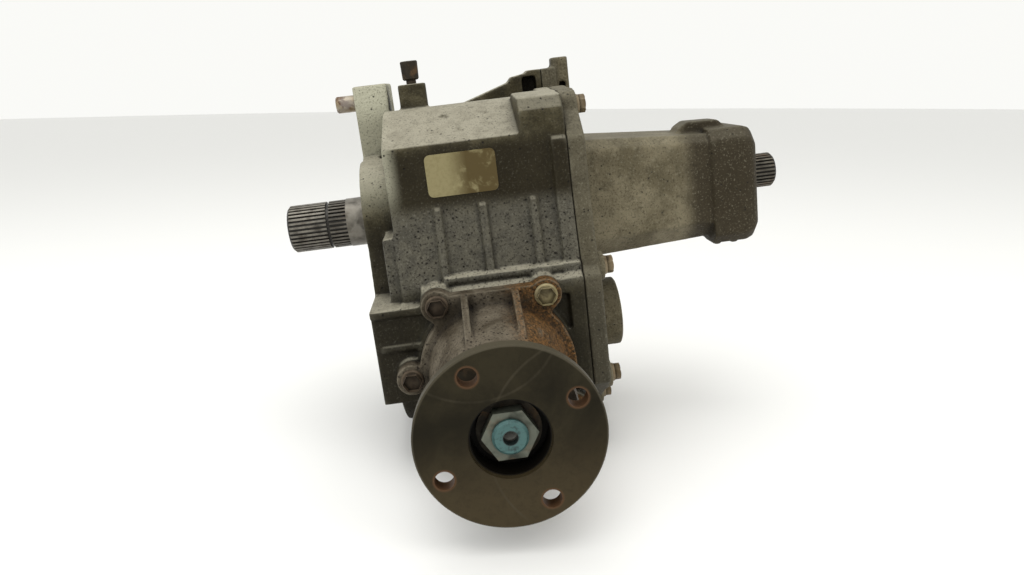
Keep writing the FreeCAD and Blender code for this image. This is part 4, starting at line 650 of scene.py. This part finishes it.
shaft_steel = steel("ground_shaft_steel", (0.040, 0.034, 0.025), (0.150, 0.136, 0.110), 0.38, 0.4,
                    stain=(0.042, 0.029, 0.016), edge=(0.28, 0.26, 0.22), groove=(18.8, 18.3))
inner_steel = steel("oily_shaft_steel", (0.030, 0.026, 0.019), (0.078, 0.070, 0.055), 0.42, 0.4,
                    edge=(0.16, 0.15, 0.12), groove=(13.7, 13.2), specular=0.3)
gear_steel = steel("gear_steel", (0.26, 0.25, 0.235), (0.40, 0.39, 0.37), 0.30, 0.9, stain_low=0.62)
bright_steel = steel("bearing_steel", (0.42, 0.42, 0.41), (0.54, 0.54, 0.53), 0.22, 0.95, stain_low=0.7,
                     stain_high=0.9)
nut_steel = steel("olive_plated_nut", (0.018, 0.021, 0.014), (0.056, 0.063, 0.046), 0.48, 0.15,
                  edge=(0.20, 0.21, 0.165), specular=0.3)
brown_bolt = steel("brown_rusty_bolt", (0.036, 0.025, 0.015), (0.086, 0.062, 0.040), 0.58, 0.1,
                   stain=(0.012, 0.007, 0.004), edge=(0.15, 0.115, 0.08), specular=0.2)
zinc_bolt = steel("yellow_zinc_bolt", (0.165, 0.130, 0.052), (0.330, 0.275, 0.145), 0.45, 0.2,
                  stain=(0.050, 0.034, 0.016), edge=(0.34, 0.30, 0.19), specular=0.3)
cover_bolt = steel("brown_zinc_bolt", (0.085, 0.058, 0.028), (0.190, 0.142, 0.080), 0.50, 0.2,
                   stain=(0.036, 0.022, 0.010), edge=(0.28, 0.235, 0.155), specular=0.3)
dowel_metal = steel("stained_dowel", (0.140, 0.092, 0.042), (0.300, 0.245, 0.155), 0.42, 0.4, 140.0,
                    (0.085, 0.036, 0.011), 0.46, 0.60)
dark_steel = steel("dark_oily_steel", (0.009, 0.007, 0.004), (0.026, 0.020, 0.013), 0.6, 0.1,
                   edge=(0.07, 0.058, 0.04), specular=0.15)
soft_washer = steel("soft_washer", (0.30, 0.29, 0.26), (0.42, 0.41, 0.38), 0.4, 0.6)
print("steel finishes ready")

# %% [markdown]
# ## Finish of the companion flange
# The flange is dark oiled steel, nearly even in tone, with a thin paler rim, two worn arcs
# and rust in its four holes. The arcs and rings could be cut into the mesh, but they have no
# depth. So the material measures how far each point is from the axis and from the holes.

# %% Companion flange finish
FLANGE_AXIS = Vector((87.2, 0, -104.5)) * MM
HOLE_CIRCLE = 46.5 * MM
HOLE_ANGLES = (26, 116, 206, 296)
# Worn arcs: where each arc's centre lies from the flange axis, and its radius, in mm
WORN_ARCS = (((-14, 0, 78), 52), ((52, 0, -8), 66))


def make_flange_steel():
    """Dark oiled steel: a thin paler rim, two worn arcs, rust in the four holes."""
    material, tree, shader = start_material("companion_flange_steel", 0.56, 0.0, 0.10)
    clouds = use_group(tree, stains, Size=26.0, Low=0.34, High=0.68)
    fine = use_group(tree, stains, Size=260.0, Low=0.44, High=0.68)
    radius = axis_distance(tree, FLANGE_AXIS, (1, 0, 1))
    low = ramp(tree, position(tree, "Z"), -0.090, -0.150)
    colour = blend(tree, clouds.outputs["Mask"], (0.0090, 0.0070, 0.0026), (0.0230, 0.0185, 0.0090))
    colour = lay_over(tree, colour, [
        (low, 0.70, (0.054, 0.0395, 0.0195)),
        (fine.outputs["Mask"], 0.18, (0.006, 0.0045, 0.002)),
        (ramp(tree, radius, 0.0564, 0.0578), 0.50, (0.085, 0.074, 0.050))])
    for shift, reach in WORN_ARCS:
        line = add_node(tree, "ShaderNodeMath", {1: reach * MM}, operation="SUBTRACT")
        tree.links.new(axis_distance(tree, FLANGE_AXIS + Vector(shift) * MM, (1, 0, 1)), line.inputs[0])
        size = add_node(tree, "ShaderNodeMath", operation="ABSOLUTE")
        tree.links.new(line.outputs[0], size.inputs[0])
        arc = multiply(tree, ramp(tree, size.outputs[0], 0.0012, 0.0002), clouds.outputs["Mask"])
        colour = blend(tree, multiply(tree, arc, 0.45), colour, (0.055, 0.046, 0.030))
    for angle in HOLE_ANGLES:
        turn = math.radians(angle)
        centre = FLANGE_AXIS + Vector((HOLE_CIRCLE * math.cos(turn), 0, HOLE_CIRCLE * math.sin(turn)))
        ring = ramp(tree, axis_distance(tree, centre, (1, 0, 1)), 0.0078, 0.0060)
        colour = blend(tree, multiply(tree, ring, 0.85), colour, (0.085, 0.044, 0.022))
    colour = lay_over(tree, colour, [
        (ramp(tree, radius, 0.0250, 0.0240), 0.95, (0.0015, 0.0012, 0.0008))])
    tree.links.new(colour, shader.inputs["Base Color"])
    tree.links.new(vary(tree, clouds.outputs["Mask"], 0.50, 0.58), shader.inputs["Roughness"])
    bump(tree, shader, fine.outputs["Mask"], 0.15, 0.1)
    return material


flange_steel = make_flange_steel()

# %% [markdown]
# ## Paint mark and rubber
# The end of the pinion shaft carries a dab of blue-green marking paint. A separate disc of
# paint could be laid on it, but a colour that starts at one plane is thinner and follows the
# thread. Seals and rings are plain dark rubber.

# %% Painted thread end
PAINT_LINE = -217.0 * MM


def make_pinion_steel():
    """Pinion shaft: bright steel, with a dab of blue-green marking paint on its thread end."""
    material, tree, shader = start_material("pinion_shaft_steel", 0.42, 0.3)
    clouds = use_group(tree, stains, Size=120.0, Low=0.36, High=0.66)
    colour = blend(tree, clouds.outputs["Mask"], (0.13, 0.125, 0.11), (0.26, 0.25, 0.22))
    painted = ramp(tree, position(tree, "Y"), PAINT_LINE, PAINT_LINE - 1.5 * MM)
    streaks = use_group(tree, stains, Size=300.0, Low=0.30, High=0.52)
    paint = blend(tree, streaks.outputs["Mask"], (0.012, 0.030, 0.029), (0.044, 0.105, 0.100))
    colour = blend(tree, painted, colour, paint)
    hole = ramp(tree, axis_distance(tree, FLANGE_AXIS, (1, 0, 1)), 0.0052, 0.0044)
    colour = blend(tree, multiply(tree, multiply(tree, hole, painted), 0.9), colour, (0.012, 0.016, 0.016))
    tree.links.new(colour, shader.inputs["Base Color"])
    return material


pinion_steel = make_pinion_steel()

# %% Rubber


def make_rubber():
    material, tree, shader = start_material("seal_rubber", 0.6)
    clouds = use_group(tree, stains, Size=150.0, Low=0.35, High=0.7)
    colour = blend(tree, clouds.outputs["Mask"], (0.012, 0.012, 0.012), (0.030, 0.027, 0.024))
    tree.links.new(colour, shader.inputs["Base Color"])
    return material


rubber = make_rubber()
print("finishes:", len(bpy.data.materials))

# %% [markdown]
# ## Rounded castings
# A mould leaves no sharp edge. Each casting gets a copy of its solid that is remeshed to an
# even net, smoothed, and thinned again where it is flat, so its edges and inner corners are
# softly rounded. A bevel would be lighter, but it fails where many short edges of a casting
# meet. The even net also lets the shader find edges and corners.

# %% Cast skins


def plain_mesh(source, name):
    """Merge the loose triangles of a solid into one closed mesh, as a new object."""
    mesh = source.data.copy()
    mesh.name = name
    shape = bmesh.new()
    shape.from_mesh(mesh)
    bmesh.ops.remove_doubles(shape, verts=shape.verts, dist=0.002 * MM)
    bmesh.ops.recalc_face_normals(shape, faces=shape.faces)
    shape.to_mesh(mesh)
    shape.free()
    mesh.materials.clear()
    piece = bpy.data.objects.new(name, mesh)
    scene.collection.objects.link(piece)
    return piece


def apply_modifiers(piece):
    """Turn an object with modifiers into the plain mesh that they give."""
    bpy.context.view_layer.update()
    graph = bpy.context.evaluated_depsgraph_get()
    mesh = bpy.data.meshes.new_from_object(piece.evaluated_get(graph), depsgraph=graph)
    mesh.name = piece.name
    piece.modifiers.clear()
    piece.data = mesh
    return piece


def cast_skin(node, voxel_mm, passes, most, material):
    piece = plain_mesh(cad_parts[node], f"{node}_skin")
    net = piece.modifiers.new("even_net", "REMESH")
    net.mode = "VOXEL"
    net.voxel_size = voxel_mm * MM
    net.use_smooth_shade = True
    rounding = piece.modifiers.new("rounding", "SMOOTH")
    rounding.factor = 0.5
    rounding.iterations = passes
    apply_modifiers(piece)
    count = sum(len(face.vertices) - 2 for face in piece.data.polygons)
    if count > most:
        fewer = piece.modifiers.new("fewer", "DECIMATE")
        fewer.ratio = most / count
        apply_modifiers(piece)
    piece.data.shade_smooth()
    piece.data.materials.clear()
    piece.data.materials.append(material)
    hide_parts(node)
    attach(piece, "case")
    print(node, "skin:", count, "triangles before thinning")
    return piece


cast_skin("main_case", 1.3, 5, 190000, case_metal)
cast_skin("extension_housing", 1.3, 5, 150000, housing_metal)
cast_skin("pinion_housing", 1.0, 4, 120000, iron)

# %% [markdown]
# ## Bolt heads
# The bolts are flanged hexagon bolts. Their heads repeat, so one small tree makes a head:
# a hexagon whose corners are cut by a cone, a shallow dish in its top and a round flange
# under it. Each bolt could be modelled on its own, but then a change would have to be made
# many times. The tree puts a copy on each point of a mesh that holds the bolt places.

# %% Head tree


def head_tree():
    """Geometry tree: flanged hexagon heads on the points of the mesh it is given."""
    tree = bpy.data.node_groups.new("bolt_heads", "GeometryNodeTree")
    tree.interface.new_socket(name="Geometry", in_out="INPUT", socket_type="NodeSocketGeometry")
    for label, default in (("Flats", 12.0), ("Head Height", 7.0), ("Flange Radius", 8.5),
                           ("Flange Height", 2.2), ("Stem Radius", 4.0), ("Stem Length", 26.0)):
        socket = tree.interface.new_socket(name=label, in_out="INPUT", socket_type="NodeSocketFloat")
        socket.default_value = default * MM
    tree.interface.new_socket(name="Turn", in_out="INPUT", socket_type="NodeSocketVector")
    tree.interface.new_socket(name="Finish", in_out="INPUT", socket_type="NodeSocketMaterial")
    tree.interface.new_socket(name="Geometry", in_out="OUTPUT", socket_type="NodeSocketGeometry")
    entry = tree.nodes.new("NodeGroupInput")
    result = tree.nodes.new("NodeGroupOutput")

    def math_node(operation, first, second):
        node = tree.nodes.new("ShaderNodeMath")
        node.operation = operation
        for socket, source in zip(node.inputs, (first, second)):
            if isinstance(source, (int, float)):
                socket.default_value = source
            else:
                tree.links.new(source, socket)
        return node.outputs[0]

    def cone(sides, bottom, top, depth, sink=None):
        node = tree.nodes.new("GeometryNodeMeshCone")
        node.inputs["Vertices"].default_value = sides
        tree.links.new(depth, node.inputs["Depth"])
        tree.links.new(bottom, node.inputs["Radius Bottom"])
        tree.links.new(top, node.inputs["Radius Top"])
        if sink is None:
            return node.outputs["Mesh"]
        move = tree.nodes.new("GeometryNodeTransform")
        tree.links.new(node.outputs["Mesh"], move.inputs["Geometry"])
        shift = tree.nodes.new("ShaderNodeCombineXYZ")
        tree.links.new(sink, shift.inputs["Z"])
        tree.links.new(shift.outputs[0], move.inputs["Translation"])
        return move.outputs["Geometry"]

    def boolean(operation, first, second):
        node = tree.nodes.new("GeometryNodeMeshBoolean")
        node.operation = operation
        if operation == "DIFFERENCE":
            tree.links.new(first, node.inputs["Mesh 1"])
            tree.links.new(second, node.inputs["Mesh 2"])
        else:
            tree.links.new(first, node.inputs["Mesh 2"])
            tree.links.new(second, node.inputs["Mesh 2"])
        return node.outputs["Mesh"]

    height = entry.outputs["Head Height"]
    corner = math_node("DIVIDE", entry.outputs["Flats"], math.sqrt(3))
    prism = cone(6, corner, corner, height)
    cut_top = math_node("MULTIPLY", entry.outputs["Flats"], 0.49)
    cut_low = math_node("ADD", cut_top, math_node("MULTIPLY", height, 1.9))
    head = boolean("INTERSECT", prism, cone(48, cut_low, cut_top, height))
    dish_top = math_node("MULTIPLY", entry.outputs["Flats"], 0.36)
    dish_low = math_node("MULTIPLY", entry.outputs["Flats"], 0.27)
    dish = cone(32, dish_low, dish_top, math_node("MULTIPLY", height, 0.6),
                math_node("MULTIPLY", height, 0.84))
    head = boolean("DIFFERENCE", head, dish)
    flange_low = entry.outputs["Flange Radius"]
    flange_top = math_node("MULTIPLY", flange_low, 0.9)
    flange = cone(40, flange_low, flange_top, entry.outputs["Flange Height"])
    stem_sink = math_node("MULTIPLY", entry.outputs["Stem Length"], -1.0)
    stem = cone(24, entry.outputs["Stem Radius"], entry.outputs["Stem Radius"],
                entry.outputs["Stem Length"], stem_sink)
    join = tree.nodes.new("GeometryNodeJoinGeometry")
    for source in (stem, flange, head):
        tree.links.new(source, join.inputs["Geometry"])
    spread = tree.nodes.new("GeometryNodeInstanceOnPoints")
    tree.links.new(entry.outputs["Geometry"], spread.inputs["Points"])
    tree.links.new(join.outputs["Geometry"], spread.inputs["Instance"])
    tree.links.new(entry.outputs["Turn"], spread.inputs["Rotation"])
    real = tree.nodes.new("GeometryNodeRealizeInstances")
    tree.links.new(spread.outputs["Instances"], real.inputs["Geometry"])
    paint = tree.nodes.new("GeometryNodeSetMaterial")
    tree.links.new(real.outputs["Geometry"], paint.inputs["Geometry"])
    tree.links.new(entry.outputs["Finish"], paint.inputs["Material"])
    tree.links.new(paint.outputs["Geometry"], result.inputs["Geometry"])
    return tree


bolt_heads = head_tree()

# %% Place the bolts


def grow(tree, name, places, sizes, turn, finish):
    """Run a geometry tree on a mesh of points and keep the plain mesh it gives."""
    points = bpy.data.meshes.new(name)
    points.from_pydata([tuple(place) for place in places], [], [])
    piece = bpy.data.objects.new(name, points)
    scene.collection.objects.link(piece)
    modifier = piece.modifiers.new("grow", "NODES")
    modifier.node_group = tree
    sockets = {item.name: item.identifier for item in tree.interface.items_tree
               if item.in_out == "INPUT"}
    for label, value in sizes.items():
        modifier[sockets[label]] = value * MM
    modifier[sockets["Turn"]] = turn
    modifier[sockets["Finish"]] = finish
    apply_modifiers(piece)
    bevel = piece.modifiers.new("soft_edges", "BEVEL")
    bevel.width = 0.25 * MM
    bevel.segments = 2
    bevel.limit_method = "ANGLE"
    bevel.angle_limit = math.radians(35)
    apply_modifiers(piece)
    piece.data.shade_smooth()
    return piece


def solid_centres(node):
    """Centre of the box of each separate solid in a node."""
    shape = bmesh.new()
    shape.from_mesh(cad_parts[node].data)
    bmesh.ops.remove_doubles(shape, verts=shape.verts, dist=0.002 * MM)
    left = set(shape.verts)
    centres = []
    while left:
        seed = left.pop()
        island = [seed]
        stack = [seed]
        while stack:
            here = stack.pop()
            for edge in here.link_edges:
                other = edge.other_vert(here)
                if other in left:
                    left.remove(other)
                    island.append(other)
                    stack.append(other)
        low = [min(corner.co[axis] for corner in island) for axis in range(3)]
        high = [max(corner.co[axis] for corner in island) for axis in range(3)]
        centres.append([(a + b) / 2 for a, b in zip(low, high)])
    shape.free()
    return centres


BOLT_HEAD_MM = 7.0
FORWARD = (math.radians(90), 0, 0)
SIDEWAYS = (0, math.radians(90), 0)


def dress_bolts(node, axis, outward, turn, sizes, finish, which=None):
    """Put detailed bolts where a node has its plain ones. outward is the sign of the axis."""
    low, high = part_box(node)
    tip = high[axis] if outward > 0 else low[axis]
    seat = tip - outward * BOLT_HEAD_MM * MM
    places = []
    for centre in sorted(solid_centres(node)):
        centre[axis] = seat
        places.append(centre)
    if which is not None:
        places = [place for place in places if which(place)]
    return grow(bolt_heads, f"{node}_{finish.name}", places, sizes, turn, finish)


housing_low, housing_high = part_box("housing_bolts")
housing_reach = housing_high[1] / MM - housing_low[1] / MM - BOLT_HEAD_MM
housing_sizes = {"Flange Radius": 8.5, "Stem Length": housing_reach}


def is_zinc(place):
    """The upper right-hand housing bolt is yellow zinc. The others are brown with rust."""
    return place[0] > 0.11 and place[2] > -0.1


zinc_set = dress_bolts("housing_bolts", 1, -1, FORWARD, housing_sizes, zinc_bolt, is_zinc)
brown_set = dress_bolts("housing_bolts", 1, -1, FORWARD, housing_sizes, brown_bolt,
                        lambda place: not is_zinc(place))
for piece in (zinc_set, brown_set):
    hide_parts("housing_bolts")
    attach(piece, "case")
for node in ("upper_cover_bolts", "lower_cover_bolts"):
    low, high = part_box(node)
    reach = (high[0] - low[0]) / MM - BOLT_HEAD_MM
    piece = dress_bolts(node, 0, 1, SIDEWAYS, {"Flange Radius": 7.5, "Stem Length": reach}, cover_bolt)
    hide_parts(node)
    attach(piece, "case")
    print(node, "dressed:", len(piece.data.polygons), "faces")

# %% [markdown]
# ## Finishes on the solids that stay
# The turned parts keep their exact solids, because their edges are sharp on the real unit
# too. They could be remeshed as the castings are, but that would blur their teeth. Each gets
# its finish in its own material slot.

# %% Assign finishes
FINISH = {
    "companion_flange": flange_steel,
    "dust_deflector": dark_steel,
    "lock_nut": nut_steel,
    "flange_washer": dark_steel,
    "pinion_shaft": pinion_steel,
    "input_shaft": shaft_steel,
    "intermediate_shaft": inner_steel,
    "mounting_dowel": dowel_metal,
    "breather_stem": brown_bolt,
    "breather_cap": dark_steel,
    "drive_gear": gear_steel,
    "driven_gear": gear_steel,
    "ring_gear": gear_steel,
    "countershaft": gear_steel,
    "filler_plug": zinc_bolt,
    "drain_plug": zinc_bolt,
    "filler_plug_washer": soft_washer,
    "drain_plug_washer": soft_washer,
}


def finish_for(name):
    if name in FINISH:
        return FINISH[name]
    if "seal" in name or "o_ring" in name:
        return rubber
    return bright_steel


for name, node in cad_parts.items():
    if not node.material_slots:
        node.data.materials.append(None)
    for entry in node.material_slots:
        entry.material = finish_for(name)
print("finished nodes:", len(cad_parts))

# %% [markdown]
# ## Data plate
# A thin rounded plate sits on the flat upper part of the front wall, with a pale yellow film
# and a brown stain over its right half. It could be a patch of colour on the casting, but a
# real plate has an edge, so it is a thin solid of its own.

# %% Data plate
PLATE_X = (53.4, 104.5)
PLATE_Z = (21.5, 52.0)
PLATE_FRONT = -76.55
PLATE_BACK = -75.9
PLATE_CORNER = 4.0


def make_plate_finish():
    material, tree, shader = start_material("data_plate_film", 0.50, 0.0, 0.2)
    stain = use_group(tree, stains, Size=95.0, Low=0.26, High=0.50)
    fine = use_group(tree, stains, Size=420.0, Low=0.44, High=0.66)
    right = ramp(tree, position(tree, "X"), 0.066, 0.088)
    film = multiply(tree, fine.outputs["Mask"], 0.35)
    colour = blend(tree, film, (0.240, 0.208, 0.105), (0.150, 0.122, 0.052))
    brown = multiply(tree, add_up(tree, right, 0.12), stain.outputs["Mask"])
    colour = blend(tree, brown, colour, (0.070, 0.049, 0.015))
    tree.links.new(colour, shader.inputs["Base Color"])
    bump(tree, shader, fine.outputs["Mask"], 0.15, 0.1)
    return material


def rounded_rectangle(x0, x1, z0, z1, corner, steps=6):
    points = []
    for cx, cz, start in ((x1, z1, 0), (x0, z1, 90), (x0, z0, 180), (x1, z0, 270)):
        inner_x = cx - corner if cx == x1 else cx + corner
        inner_z = cz - corner if cz == z1 else cz + corner
        for step in range(steps + 1):
            turn = math.radians(start + 90 * step / steps)
            points.append((inner_x + corner * math.cos(turn), inner_z + corner * math.sin(turn)))
    return points


def make_plate():
    mesh = bpy.data.meshes.new("data_plate")
    shape = bmesh.new()
    outline = rounded_rectangle(*PLATE_X, *PLATE_Z, PLATE_CORNER)
    front = [shape.verts.new((x * MM, PLATE_FRONT * MM, z * MM)) for x, z in outline]
    face = shape.faces.new(front)
    grown = bmesh.ops.extrude_face_region(shape, geom=[face])
    back = [item for item in grown["geom"] if isinstance(item, bmesh.types.BMVert)]
    bmesh.ops.translate(shape, verts=back, vec=(0, (PLATE_BACK - PLATE_FRONT) * MM, 0))
    bmesh.ops.recalc_face_normals(shape, faces=shape.faces)
    shape.to_mesh(mesh)
    shape.free()
    plate = bpy.data.objects.new("data_plate", mesh)
    scene.collection.objects.link(plate)
    mesh.materials.append(make_plate_finish())
    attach(plate, "case")
    return plate


plate = make_plate()
print("data plate:", round(PLATE_X[1] - PLATE_X[0], 1), "by", PLATE_Z[1] - PLATE_Z[0], "mm")
